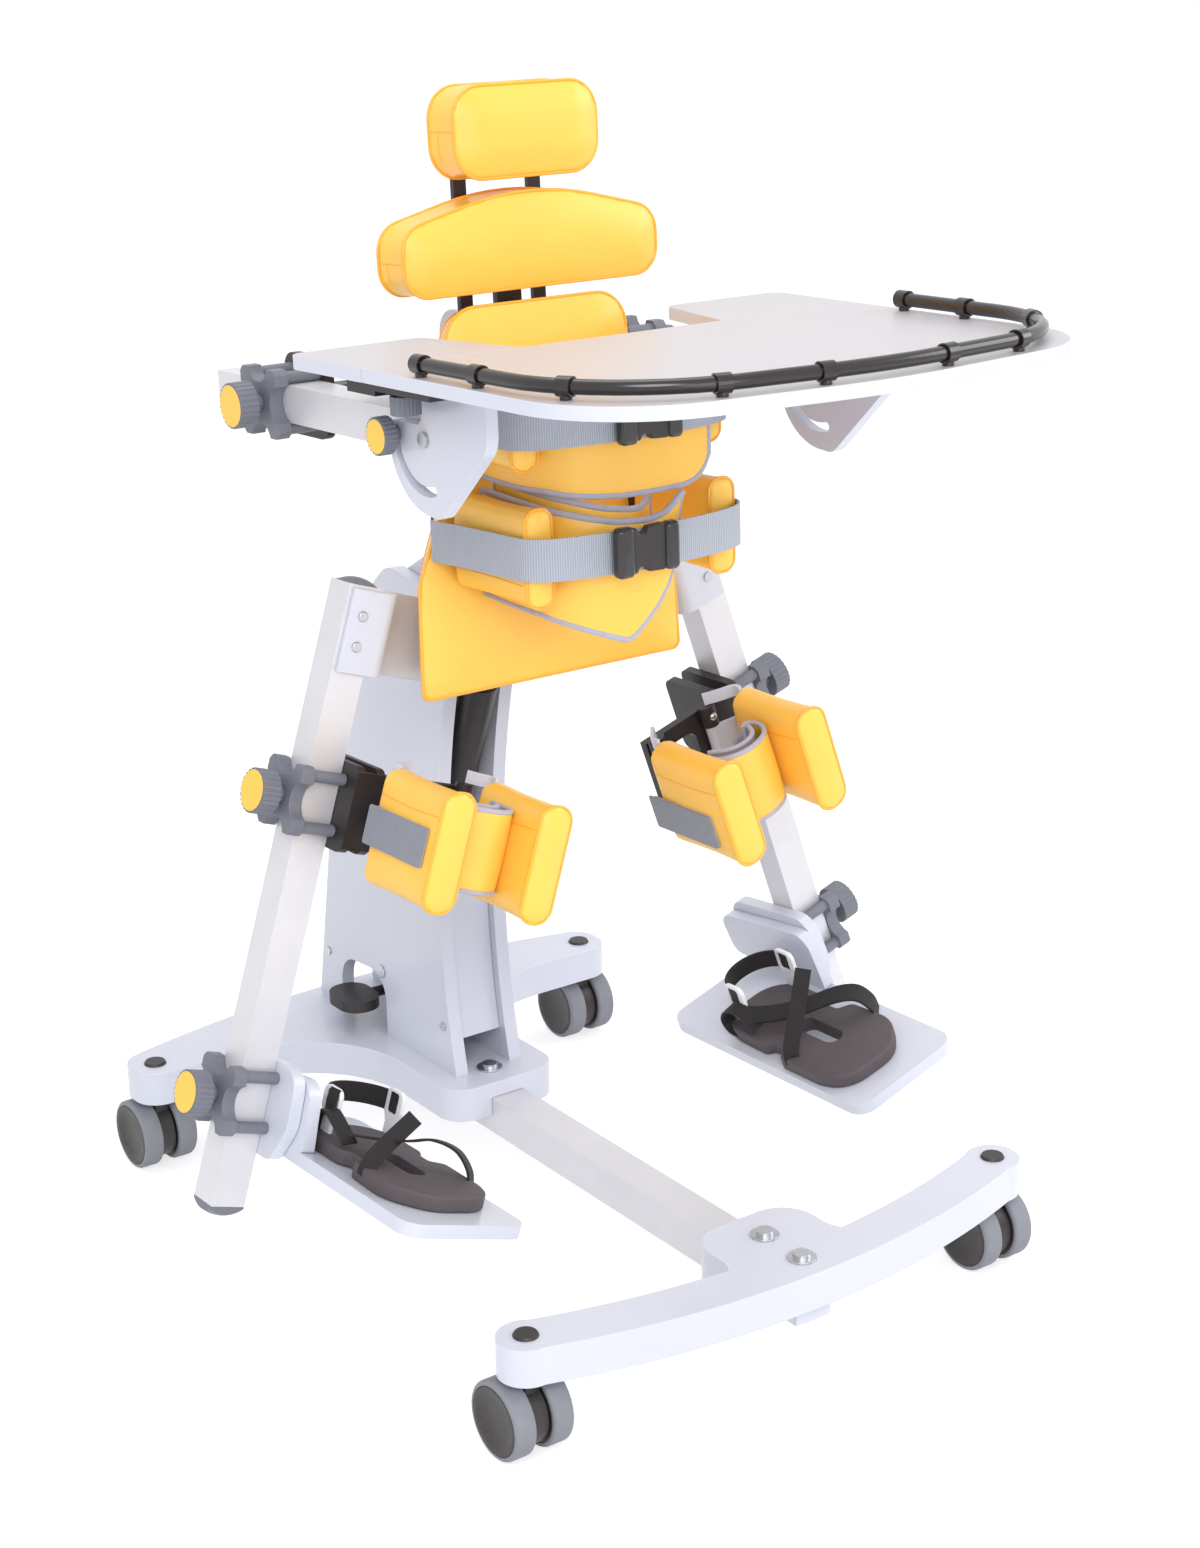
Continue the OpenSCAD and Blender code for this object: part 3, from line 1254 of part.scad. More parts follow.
foot_knob(1);  // foot_knob_left
foot_knob(-1);  // foot_knob_right
foot_plate(1);  // foot_plate_left
foot_plate(-1);  // foot_plate_right
sandal(1);  // sandal_left
sandal(-1);  // sandal_right
tray_arms();
tray_board();
tray_rail();
tilt_plates();
tray_wing(1);  // tray_wing_left
tray_wing(-1);  // tray_wing_right
arm_knob(1);  // arm_knob_left
arm_knob(-1);  // arm_knob_right
tilt_knob(1);  // tilt_knob_left
tilt_knob(-1);  // tilt_knob_right
wing_knob(1);  // wing_knob_left
wing_knob(-1);  // wing_knob_right
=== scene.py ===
# %% [markdown]
# A child's standing frame: painted boards on casters, a tilting mast with yellow vinyl pads, two
# spreading legs with knee and foot carriages, and a railed tray. The rigid parts come from the
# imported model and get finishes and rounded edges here. Everything soft is modelled in this lesson
# and takes the place of its plain solid.

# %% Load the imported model
import json
import math

import bpy
import numpy as np
from mathutils import Matrix, Vector


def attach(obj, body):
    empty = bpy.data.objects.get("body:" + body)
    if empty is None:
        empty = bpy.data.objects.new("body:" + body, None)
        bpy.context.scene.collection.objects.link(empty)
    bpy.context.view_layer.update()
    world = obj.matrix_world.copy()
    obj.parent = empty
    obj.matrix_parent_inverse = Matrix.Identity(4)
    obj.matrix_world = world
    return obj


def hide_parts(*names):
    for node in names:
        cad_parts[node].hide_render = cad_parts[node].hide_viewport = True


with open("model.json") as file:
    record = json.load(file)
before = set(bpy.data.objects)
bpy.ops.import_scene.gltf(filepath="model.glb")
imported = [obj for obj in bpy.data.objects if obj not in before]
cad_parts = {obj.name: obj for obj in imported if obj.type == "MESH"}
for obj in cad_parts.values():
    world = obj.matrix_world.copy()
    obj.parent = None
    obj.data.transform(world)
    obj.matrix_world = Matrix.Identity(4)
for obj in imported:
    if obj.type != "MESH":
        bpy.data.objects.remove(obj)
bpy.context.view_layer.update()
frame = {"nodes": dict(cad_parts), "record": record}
nodes = frame["nodes"]

# %% [markdown]
# The real frame is built in tilted planes: the mast leans back, the pads lean against the mast and
# each leg spreads from its hip pin. Modelling is easiest in those planes, so each one gets a matrix
# that carries a piece, drawn in millimetres round its own origin, to its place on the frame.

# %% Planes of the frame
MM = 0.001
SIDES = ("left", "right")
CENTRING = 368.037
TILT_AXLE_Y, TILT_AXLE_Z = -130, 610
PAD_FOOT_Y, PAD_FOOT_Z = -300, 580
MAST_LEAN, PAD_LEAN, LEG_SPREAD = 1.95, 1.5, 18.6
HIP_PIN = (88, -297.4, 615)
LEG_TUBE_X = 121.5
KNEE_DROP, FOOT_DROP = 164, 457
ARM_X, ARM_Z = 195, 858
ARM_CLAMP_Y, TRAY_PIVOT_Y = -202, -488


def shift(x, y, z):
    return Matrix.Translation((x * MM, y * MM, z * MM))


def turned(degrees, axis):
    return Matrix.Rotation(math.radians(degrees), 4, axis)


def on_side(side):
    return Matrix.Identity(4) if side == "left" else Matrix.Scale(-1, 4, (1, 0, 0))


GROUND = shift(0, CENTRING, 0)
AXLE, AXLE_HOME = shift(0, TILT_AXLE_Y, TILT_AXLE_Z), shift(0, -TILT_AXLE_Y, -TILT_AXLE_Z)
MAST = GROUND @ AXLE @ turned(-MAST_LEAN, "X") @ AXLE_HOME
PAD_PLANE = MAST @ shift(0, PAD_FOOT_Y, PAD_FOOT_Z) @ turned(-PAD_LEAN, "X")
FACE_FORWARD = turned(90, "X")
LEG = {s: MAST @ on_side(s) @ shift(*HIP_PIN) @ turned(-LEG_SPREAD, "Y") for s in SIDES}
KNEE = {s: LEG[s] @ shift(LEG_TUBE_X, 0, -KNEE_DROP) for s in SIDES}
FOOT = {s: LEG[s] @ shift(LEG_TUBE_X, 0, -FOOT_DROP) for s in SIDES}
ARM = {s: MAST @ on_side(s) @ shift(ARM_X, ARM_CLAMP_Y, ARM_Z) @ turned(90, "X") for s in SIDES}
TILT = {s: MAST @ on_side(s) @ shift(0, TRAY_PIVOT_Y, ARM_Z) for s in SIDES}
print("mast leans", round(math.degrees(math.asin(MAST[1][2])), 2), "degrees")

# %% [markdown]
# The camera stands where the photographer stood. Its place, roll and lens were solved from the four
# casters and the tray, so that a point of the model lands on its pixel in a 1200 by 1548 picture.

# %% Camera
# Aim and distance in metres, the sensor in millimetres
AIM = (-0.029465, -0.456792, 0.521832)
DISTANCE = 2.514311
FOCAL_PIXELS, PICTURE_HEIGHT = 2669.136, 1548
SENSOR = 36
azimuth, elevation, roll = (math.radians(d) for d in (-35.7295, 18.8076, -0.7467))
level = math.cos(elevation)
back = Vector((math.sin(azimuth) * level, -math.cos(azimuth) * level, math.sin(elevation)))
flat_right = Vector((math.cos(azimuth), math.sin(azimuth), 0))
flat_up = back.cross(flat_right)
right = flat_right * math.cos(roll) + flat_up * math.sin(roll)
up = flat_up * math.cos(roll) - flat_right * math.sin(roll)
lens = bpy.data.cameras.new("studio_camera")
lens.sensor_width = SENSOR
lens.lens = FOCAL_PIXELS / PICTURE_HEIGHT * SENSOR
lens.clip_end = 50
camera = bpy.data.objects.new("studio_camera", lens)
bpy.context.scene.collection.objects.link(camera)
axes = Matrix((right, up, back)).transposed().to_4x4()
camera.matrix_world = Matrix.Translation(GROUND @ Vector(AIM) + back * DISTANCE) @ axes
bpy.context.scene.camera = camera
print("lens", round(lens.lens, 2), "mm at", [round(c, 3) for c in camera.matrix_world.translation])

# %% [markdown]
# A studio picture on white needs a floor and a backdrop that look white without flooding the frame
# with light. The world and the floor answer direct rays with a pale colour of their own, and the
# lamps stay at a plain level, so paint and vinyl keep their colours. Small helpers make and join nodes.

# %% World and direct rays
scene = bpy.context.scene
scene.view_settings.view_transform = "Standard"
WHITE = (1, 1, 1, 1)
AMBIENT, BACKDROP = 0.86, 1.0


def preset(node, values):
    for socket, value in dict(values).items():
        node.inputs[socket].default_value = value
    return node


def add(tree, kind, values=(), **settings):
    """A node with its settings, and with values at some of its inputs."""
    node = tree.nodes.new("ShaderNode" + kind)
    for label, value in settings.items():
        setattr(node, label, value)
    return preset(node, values)


def wire(tree, *links):
    """Each link is a node, its output, the next node and its input."""
    for source, output, target, socket in links:
        tree.links.new(source.outputs[output], target.inputs[socket])


def seen_directly(tree):
    """1 for rays from the camera, from a gloss or through glass, and 0 for the light itself."""
    path = add(tree, "LightPath")
    glossy = add(tree, "Math", operation="MAXIMUM")
    clear = add(tree, "Math", operation="MAXIMUM")
    wire(tree, (path, "Is Camera Ray", glossy, 0), (path, "Is Glossy Ray", glossy, 1),
         (glossy, 0, clear, 0), (path, "Is Transmission Ray", clear, 1))
    return clear


scene.world = bpy.data.worlds.new("studio")
scene.world.use_nodes = True
sky = scene.world.node_tree
sky.nodes.clear()
ambient = add(sky, "Background", {"Color": WHITE, "Strength": AMBIENT})
backdrop = add(sky, "Background", {"Color": WHITE, "Strength": BACKDROP})
choose = add(sky, "MixShader")
wire(sky, (seen_directly(sky), 0, choose, 0), (ambient, 0, choose, 1), (backdrop, 0, choose, 2),
     (choose, 0, add(sky, "OutputWorld"), "Surface"))
print("world light", AMBIENT)

# %% [markdown]
# Large disks stand in for softboxes: a key above the camera, a fill from the right, one over the
# frame and one before it. Big lamps give the soft shadows of the photograph.

# %% Lamps
# Name, place and aim in metres, size in metres, watts
LAMPS = (
    ("key_softbox", (-1.9, -2.6, 2.7), (0, 0, 0.6), 1.8, 56),
    ("fill_softbox", (2.6, -1.4, 1.9), (0, 0, 0.6), 1.8, 28),
    ("top_softbox", (0.2, 0.6, 3.2), (0, 0, 0.5), 2.0, 20),
    ("front_softbox", (-0.3, -3.4, 1.4), (0, 0, 0.75), 2.2, 23),
)
for name, place, target, size, watts in LAMPS:
    light = bpy.data.lights.new(name, "AREA")
    light.shape = "DISK"
    light.size = size
    light.energy = watts
    holder = bpy.data.objects.new(name, light)
    scene.collection.objects.link(holder)
    holder.location = place
    holder.rotation_euler = (Vector(target) - Vector(place)).to_track_quat("-Z", "Y").to_euler()

# %% [markdown]
# The floor is half matte and half glowing to direct rays. The matte half still takes soft contact
# shadows, which is what ties the casters to the ground.

# %% Floor
FLOOR_SIZE = 40
GLOW_STRENGTH, GLOW_SHARE = 1.4, 0.5


def fresh(name, primitive, **values):
    """One of Blender's primitives under its own name."""
    bpy.ops.object.select_all(action="DESELECT")
    primitive(**values)
    piece = bpy.context.object
    piece.name = piece.data.name = name
    return piece


floor = fresh("studio_floor", bpy.ops.mesh.primitive_plane_add, size=FLOOR_SIZE, location=(0, 0, 0))
floor_paint = bpy.data.materials.new("studio_floor")
floor_paint.use_nodes = True
tree = floor_paint.node_tree
tree.nodes.clear()
matte = add(tree, "BsdfDiffuse", {"Color": (0.9, 0.9, 0.91, 1)})
glow = add(tree, "Emission", {"Color": (0.985, 0.98, 0.985, 1), "Strength": GLOW_STRENGTH})
share = add(tree, "Math", {1: GLOW_SHARE}, operation="MULTIPLY")
mixed = add(tree, "MixShader")
wire(tree, (seen_directly(tree), 0, share, 0), (share, 0, mixed, 0), (matte, 0, mixed, 1),
     (glow, 0, mixed, 2), (mixed, 0, add(tree, "OutputMaterial"), "Surface"))
floor.data.materials.append(floor_paint)
print("floor", FLOOR_SIZE, "m wide")

# %% [markdown]
# Several finishes share an effect. Each effect is a node group with named sockets, built once. A
# group only puts out colours, masks and heights; the shader stays in each material. The first one
# is the slight unevenness of paint: two tones mixed by soft clouds, with a mask for roughness.

# %% Uneven tones
FLOAT, COLOUR = "NodeSocketFloat", "NodeSocketColor"


def effect(name, inputs, *outputs):
    """A node group: white inputs and the output Color are colours, all others are numbers."""
    group = bpy.data.node_groups.new(name, "ShaderNodeTree")
    for label, value in inputs.items():
        kind = COLOUR if value == WHITE else FLOAT
        group.interface.new_socket(label, in_out="INPUT", socket_type=kind).default_value = value
    for label in outputs:
        kind = COLOUR if label == "Color" else FLOAT
        group.interface.new_socket(label, in_out="OUTPUT", socket_type=kind)
    return group, group.nodes.new("NodeGroupInput"), group.nodes.new("NodeGroupOutput")


uneven, given, made = effect(
    "uneven_finish", {"Tone A": WHITE, "Tone B": WHITE, "Size": 20.0, "Roughness": 0.4, "Spread": 0.1},
    "Color", "Roughness")
place = add(uneven, "TexCoord")
clouds = add(uneven, "TexNoise", {"Detail": 5.0})
blend = add(uneven, "Mix", data_type="RGBA")
vary = add(uneven, "Math", operation="MULTIPLY_ADD")
middle = add(uneven, "Math", {1: 0.5}, operation="SUBTRACT")
wire(uneven, (place, "Object", clouds, "Vector"), (given, "Size", clouds, "Scale"),
     (clouds, "Fac", blend, "Factor"), (given, "Tone A", blend, "A"), (given, "Tone B", blend, "B"),
     (blend, "Result", made, "Color"), (clouds, "Fac", middle, 0), (middle, 0, vary, 0),
     (given, "Spread", vary, 1), (given, "Roughness", vary, 2), (vary, 0, made, "Roughness"))
print("effect:", uneven.name)

# %% [markdown]
# Pressed vinyl and moulded plastic have a pebble grain over a softer waviness. Rounded cells give the
# pebbles and noise the waves, and the share between them makes vinyl, rubber or paint of it.

# %% Pressed grain
grain, given, made = effect("pressed_grain", {"Pebbles": 900.0, "Waves": 30.0, "Wave share": 0.5}, "Height")
place = add(grain, "TexCoord")
cells = add(grain, "TexVoronoi", feature="SMOOTH_F1")
waves = add(grain, "TexNoise", {"Detail": 3.0})
join = add(grain, "Mix")
wire(grain, (place, "Object", cells, "Vector"), (given, "Pebbles", cells, "Scale"),
     (place, "Object", waves, "Vector"), (given, "Waves", waves, "Scale"),
     (given, "Wave share", join, "Factor"), (cells, "Distance", join, "A"), (waves, "Fac", join, "B"),
     (join, "Result", made, "Height"))
print("effect:", grain.name)

# %% [markdown]
# Drawn tube has fine lines along its length. Noise that is stretched along the upright axis gives
# them, since the tubes that show most, those of the legs, stand nearly upright.

# %% Drawn lines
brushing, given, made = effect("drawn_lines", {"Across": 900.0, "Along": 6.0}, "Height")
place = add(brushing, "TexCoord")
stretch = add(brushing, "VectorMath", operation="MULTIPLY")
rates = add(brushing, "CombineXYZ")
lines = add(brushing, "TexNoise", {"Scale": 1.0})
wire(brushing, (given, "Across", rates, "X"), (given, "Across", rates, "Y"), (given, "Along", rates, "Z"),
     (place, "Object", stretch, 0), (rates, 0, stretch, 1), (stretch, 0, lines, "Vector"),
     (lines, "Fac", made, "Height"))
print("effect:", brushing.name)

# %% [markdown]
# Webbing has cords that run across it. A sine along the belt's own UV map counts them, so the ribs
# follow the belt round its bends, and the same wave paints shade into the valleys between them and
# light onto the crests.

# %% Belt ribs
ribs, given, made = effect("belt_ribs", {"Ribs": 400.0, "Tone A": WHITE, "Tone B": WHITE}, "Color", "Height")
along = add(ribs, "UVMap", uv_map="run")
split = add(ribs, "SeparateXYZ")
count = add(ribs, "Math", operation="MULTIPLY")
wave = add(ribs, "Math", operation="SINE")
lift = add(ribs, "MapRange", {"From Min": -1.0})
# Mixes the darker valley tone and the lighter crest tone: painted shade and painted light along the ribs.
rib_painted_shade = add(ribs, "Mix", data_type="RGBA")
wire(ribs, (along, "UV", split, 0), (split, "X", count, 0), (given, "Ribs", count, 1), (count, 0, wave, 0),
     (wave, 0, lift, "Value"), (lift, 0, rib_painted_shade, "Factor"), (given, "Tone A", rib_painted_shade, "A"),
     (given, "Tone B", rib_painted_shade, "B"), (rib_painted_shade, "Result", made, "Color"), (lift, 0, made, "Height"))
print("effect:", ribs.name)

# %% [markdown]
# The finishes follow the photograph: pale grey gloss paint, satin aluminium, moulded dark grey and
# black plastic, yellow vinyl and grey webbing. Colours are written as screen values and turned into
# the linear ones that Blender works with. One function builds every finish from its own values.

# %% A finish from its values


def linear(r, g, b, gain=1.0):
    def part(c):
        c = min(c / 255 * gain, 1.0)
        return c / 12.92 if c <= 0.04045 else ((c + 0.055) / 1.055) ** 2.4
    return (part(r), part(g), part(b), 1)


def pebbled(pebbles, waves, wave_share):
    return grain, {"Pebbles": pebbles, "Waves": waves, "Wave share": wave_share}


# The valley tone is painted shade and the crest tone is painted light.
def ribbed(count, shaded_valley, lit_crest):
    return ribs, {"Ribs": count, "Tone A": linear(*shaded_valley), "Tone B": linear(*lit_crest)}


def finish(name, colour, roughness, height, strength, depth, metallic=0.0, coat=0.0,
           coat_roughness=0.1, tones=0.05, size=20.0, spread=0.1, sheen=0.0, specular=0.5):
    material = bpy.data.materials.new(name)
    material.use_nodes = True
    tree = material.node_tree
    shader = preset(tree.nodes["Principled BSDF"], {
        "Metallic": metallic, "Coat Weight": coat, "Coat Roughness": coat_roughness,
        "Sheen Weight": sheen, "Specular IOR Level": specular})
    cloud = add(tree, "Group", {
        "Tone A": linear(*colour, 1 - tones), "Tone B": linear(*colour, 1 + tones), "Size": size,
        "Roughness": roughness, "Spread": spread}, node_tree=uneven)
    group, values = height
    surface = add(tree, "Group", values, node_tree=group)
    bump = add(tree, "Bump", {"Strength": strength, "Distance": depth})
    own_colour = surface if "Color" in surface.outputs else cloud
    wire(tree, (own_colour, "Color", shader, "Base Color"), (cloud, "Roughness", shader, "Roughness"),
         (surface, "Height", bump, "Height"), (bump, 0, shader, "Normal"))
    return material


print("colours in linear values, such as", [round(c, 3) for c in linear(203, 206, 219)[:3]])

# %% [markdown]
# Painted boards, bare and plated metal. Paint lies thick and gets a clear coat, steel parts are
# powder coated with a fine grain, and the square tubes keep the lines of drawing.

# %% Paint and metal
PAINT = finish("grey_paint", (203, 206, 219), 0.32, pebbled(260.0, 60.0, 0.8), 0.05, 0.0006,
               coat=0.4, coat_roughness=0.12, tones=0.012, size=9)
TRAY_PAINT = finish("tray_laminate", (190, 187, 192), 0.42, pebbled(700.0, 90.0, 0.3), 0.08, 0.0003,
                    coat=0.2, coat_roughness=0.3, tones=0.02, size=600)
BLACK_STEEL = finish("black_coat", (44, 39, 40), 0.38, pebbled(1400.0, 80.0, 0.3), 0.15, 0.0003,
                     tones=0.06, size=40, specular=0.4)
RAIL_BLACK = finish("rail_gloss", (34, 29, 30), 0.22, pebbled(300.0, 40.0, 0.9), 0.06, 0.0004,
                    coat=0.25, coat_roughness=0.15, tones=0.05, size=30)
ALUMINIUM = finish("satin_aluminium", (216, 215, 220), 0.4, (brushing, {"Across": 1500.0, "Along": 12.0}),
                   0.12, 0.0002, metallic=0.4, tones=0.03, size=25, spread=0.12)
ZINC = finish("bright_zinc", (196, 198, 203), 0.28, pebbled(500.0, 200.0, 0.6), 0.08, 0.0002,
              metallic=1.0, tones=0.05, size=90)
print("finishes:", len(bpy.data.materials))

# %% [markdown]
# Mouldings in grey, black, white and yellow, and the rubber of treads and soles. They differ mostly
# in gloss and in how coarse their grain is.

# %% Plastic and rubber
GREY_PLASTIC = finish("grey_moulding", (112, 115, 126), 0.46, pebbled(1800.0, 120.0, 0.25), 0.2, 0.0003,
                      tones=0.04, size=60)
BLACK_PLASTIC = finish("black_moulding", (46, 41, 43), 0.42, pebbled(1800.0, 120.0, 0.25), 0.18, 0.0003,
                       tones=0.05, size=60)
GLOSS_PLASTIC = finish("gloss_moulding", (36, 33, 35), 0.16, pebbled(900.0, 120.0, 0.5), 0.08, 0.0003,
                       coat=0.5, tones=0.04, size=60)
TREAD = finish("grey_tread", (128, 130, 138), 0.6, pebbled(1500.0, 200.0, 0.4), 0.2, 0.0003,
               tones=0.05, size=80)
CAP_YELLOW = finish("yellow_cap", (254, 196, 66), 0.4, pebbled(1200.0, 60.0, 0.4), 0.08, 0.0003,
                    coat=0.2, tones=0.02, size=40)
SOLE = finish("sandal_sole", (80, 72, 76), 0.6, pebbled(900.0, 150.0, 0.4), 0.3, 0.0005,
              tones=0.07, size=70)
WHITE_PLASTIC = finish("white_moulding", (226, 228, 232), 0.4, pebbled(1500.0, 100.0, 0.3), 0.12, 0.0003,
                       tones=0.02, size=40)
print("finishes:", len(bpy.data.materials))

# %% [markdown]
# The covers are smooth vinyl, and the piping is a slightly deeper orange, which is painted shade
# along the seams. Bindings, linings and hook tape are fleecy, so they get some sheen, and the two
# webbings carry ribs with painted shade in their valleys and painted light on their crests.

# %% Vinyl and webbing
VINYL = finish("yellow_vinyl", (252, 194, 78), 0.36, pebbled(1100.0, 26.0, 0.55), 0.22, 0.0008,
               coat=0.12, coat_roughness=0.3, tones=0.03, size=14, spread=0.12)
# A deeper orange than the vinyl: painted shade for the creases of piping and seams.
SHADE_PAINTED_PIPING = finish("vinyl_piping_painted_shade", (246, 172, 52), 0.34, pebbled(1300.0, 120.0, 0.4), 0.15, 0.0004,
                coat=0.15, coat_roughness=0.25, tones=0.03, size=40)
BINDING = finish("grey_binding", (172, 170, 184), 0.75, pebbled(1500.0, 300.0, 0.3), 0.35, 0.0005,
                 tones=0.05, size=120, sheen=0.15)
LINING = finish("grey_lining", (150, 150, 160), 0.85, pebbled(900.0, 300.0, 0.2), 0.5, 0.0006,
                tones=0.05, size=160, sheen=0.2)
HOOK_TAPE = finish("hook_tape", (128, 132, 142), 0.8, pebbled(700.0, 400.0, 0.2), 0.6, 0.0008,
                   tones=0.06, size=200, sheen=0.2)
# In both webbings the darker valley tone is painted shade and the lighter crest tone is painted light.
WEBBING = finish("grey_webbing", (164, 168, 178), 0.62, ribbed(2600.0, (152, 157, 168), (178, 182, 192)),
                 0.6, 0.0006, tones=0.04, size=60, sheen=0.1)
BLACK_WEBBING = finish("black_webbing", (30, 27, 28), 0.72, ribbed(3000.0, (26, 24, 25), (44, 41, 42)),
                       0.5, 0.0005, tones=0.06, size=80, sheen=0.05, specular=0.3)
print("finishes:", len(bpy.data.materials))

# %% [markdown]
# The rigid parts keep their solids. Real boards and mouldings have no knife edges, so each part gets
# a small round: the loose triangles are welded, flat areas are joined and the edges are bevelled by
# modifiers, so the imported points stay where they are.

# %% Rigid parts
SLOT_FINISH = {
    "painted_board": PAINT, "painted_steel": PAINT, "black_steel": BLACK_STEEL,
    "bare_aluminium": ALUMINIUM, "zinc_steel": ZINC, "grey_plastic": GREY_PLASTIC,
    "black_plastic": BLACK_PLASTIC, "grey_rubber": TREAD, "yellow_vinyl": VINYL,
    "harness_fabric": VINYL, "black_rubber": SOLE,
}
EDGE_ROUND = {
    "rear_base": 7.0, "front_bar": 7.0, "column_plates": 4.0, "column_panels": 1.5, "mast_plates": 3.0,
    "tray_board": 4.0, "tray_wing": 4.0, "tilt_plates": 3.0, "foot_plate": 4.0, "foot_clamp": 2.5,
    "knee_clamp": 2.5, "tray_clamps": 2.5, "knee_carrier": 1.6, "leg_tube": 1.6, "tray_arms": 1.6,
    "spine_tube": 1.6, "hip_bracket": 1.0, "foot_pedal": 2.5, "caster_housing": 2.0,
    "caster_wheels": 0.8, "tray_rail": 0.4,
}
SMALL_ROUND = 0.5
WELD_GAP = 0.00001
FLAT_ANGLE, SHARP_ANGLE = 0.5, 38


def base_name(node):
    for tail in ("_left", "_right", "_fl", "_fr", "_rl", "_rr"):
        if node.endswith(tail):
            return node[: -len(tail)]
    return node


def soften(part, width):
    weld = part.modifiers.new("weld", "WELD")
    weld.merge_threshold = WELD_GAP
    flats = part.modifiers.new("join_flats", "DECIMATE")
    flats.decimate_type = "DISSOLVE"
    flats.angle_limit = math.radians(FLAT_ANGLE)
    flats.delimit = {"MATERIAL"}
    edges = part.modifiers.new("edge_round", "BEVEL")
    edges.width = width * MM
    edges.segments = 3
    edges.limit_method = "ANGLE"
    edges.angle_limit = math.radians(SHARP_ANGLE)
    edges.harden_normals = True


for entry in frame["record"]["subparts"]:
    part = nodes[entry["node"]]
    part.data.materials.clear()
    part.data.materials.append(SLOT_FINISH[entry["material_slot"]])
    if "custom_normal" in part.data.attributes:
        part.data.attributes.remove(part.data.attributes["custom_normal"])
    part.data.shade_smooth()
    soften(part, EDGE_ROUND.get(base_name(entry["node"]), SMALL_ROUND))

# %% [markdown]
# Some solids hold pieces of two finishes, such as a knob and its yellow cap or a tube and its end
# plugs. Faces are picked by their place in the part's own plane and given a second material slot.

# %% Second finishes
KNOB_FACE, TILT_CAP_X = 62.6, 246.8
WING_CAP_Z, WING_BAR_Z, BOARD_TOP = 882.9, 910.97, 922.9
TUBE_TOP, TUBE_FOOT = 43.01, -563.01
HIP_SCREW_Y = -22.52
PLATE_BACK, PLATE_FACE, PLATE_HALF = -31.45, -18.38, 60
CLAMP_BAR_BACK, CLAMP_BAR_FACE = -30, -18.37
ARM_BACK, ARM_FRONT = -95.98, -506.02
ARM_SIDE, ARM_PIN = 214, 213.02
SPINE_FRONT, SPINE_BACK = -737.0, -71.0
FRONT_AXLE_Y, REAR_AXLE_Y, AXLE_Z, RIM_R = -675, 30, 37.5, 32.7
CASTER_Y = {"fl": FRONT_AXLE_Y, "fr": FRONT_AXLE_Y, "rl": REAR_AXLE_Y, "rr": REAR_AXLE_Y}


def paint_faces(node, material, plane, chosen):
    part = nodes[node]
    part.data.materials.append(material)
    index = len(part.data.materials) - 1
    to_plane = plane.inverted()
    for face in part.data.polygons:
        if chosen(*(to_plane @ face.center / MM)):
            face.material_index = index


for side in SIDES:
    for knob, planes in (("knee", KNEE), ("foot", FOOT), ("arm", ARM)):
        paint_faces(f"{knob}_knob_{side}", CAP_YELLOW, planes[side], lambda x, y, z: x > KNOB_FACE)
    paint_faces("tilt_knob_" + side, CAP_YELLOW, TILT[side], lambda x, y, z: x > TILT_CAP_X)
    paint_faces("wing_knob_" + side, CAP_YELLOW, MAST, lambda x, y, z: z < WING_CAP_Z)
    paint_faces("leg_tube_" + side, GREY_PLASTIC, LEG[side], lambda x, y, z: z > TUBE_TOP or z < TUBE_FOOT)
    paint_faces("hip_bracket_" + side, ZINC, LEG[side], lambda x, y, z: y < HIP_SCREW_Y)
    paint_faces("foot_clamp_" + side, PAINT, FOOT[side],
                lambda x, y, z: PLATE_BACK < x < PLATE_FACE and abs(z) < PLATE_HALF)
    paint_faces("foot_clamp_" + side, ZINC, FOOT[side], lambda x, y, z: x < PLATE_BACK)
    paint_faces("tray_wing_" + side, BLACK_STEEL, MAST, lambda x, y, z: z < WING_BAR_Z)
    paint_faces("tray_clamps", BLACK_STEEL, ARM[side], lambda x, y, z: CLAMP_BAR_BACK < x < CLAMP_BAR_FACE)
paint_faces("tray_arms", GREY_PLASTIC, MAST,
            lambda x, y, z: (y > ARM_BACK or y < ARM_FRONT) and abs(x) < ARM_SIDE)
paint_faces("tray_arms", ZINC, MAST, lambda x, y, z: abs(x) > ARM_PIN)
paint_faces("spine_tube", PAINT, GROUND, lambda x, y, z: y < SPINE_FRONT)
paint_faces("spine_tube", GREY_PLASTIC, GROUND, lambda x, y, z: y > SPINE_BACK)
for corner, axle_y in CASTER_Y.items():
    paint_faces("caster_wheels_" + corner, BLACK_PLASTIC, GROUND,
                lambda x, y, z, axle_y=axle_y: math.hypot(y - axle_y, z - AXLE_Z) < RIM_R)
for node in ("tray_board", "tray_wing_left", "tray_wing_right"):
    paint_faces(node, TRAY_PAINT, MAST, lambda x, y, z: z > BOARD_TOP)
nodes["tray_rail"].data.materials[0] = RAIL_BLACK
print("parts with more than one finish:", sum(len(n.data.materials) > 1 for n in nodes.values()))

# %% [markdown]
# Helpers for modelling. A blank is a filled circle whose points are moved onto an outline
# with rounded corners, the way a maker cuts foam or board to a template, and a slab gives it depth.

# %% Outlines, blanks and slabs


def alone(piece):
    bpy.ops.object.select_all(action="DESELECT")
    piece.select_set(True)
    bpy.context.view_layer.objects.active = piece


def apply_modifier(piece, kind, **values):
    alone(piece)
    modifier = piece.modifiers.new(kind.lower(), kind)
    for label, value in values.items():
        setattr(modifier, label, value)
    bpy.ops.object.modifier_apply(modifier=modifier.name)


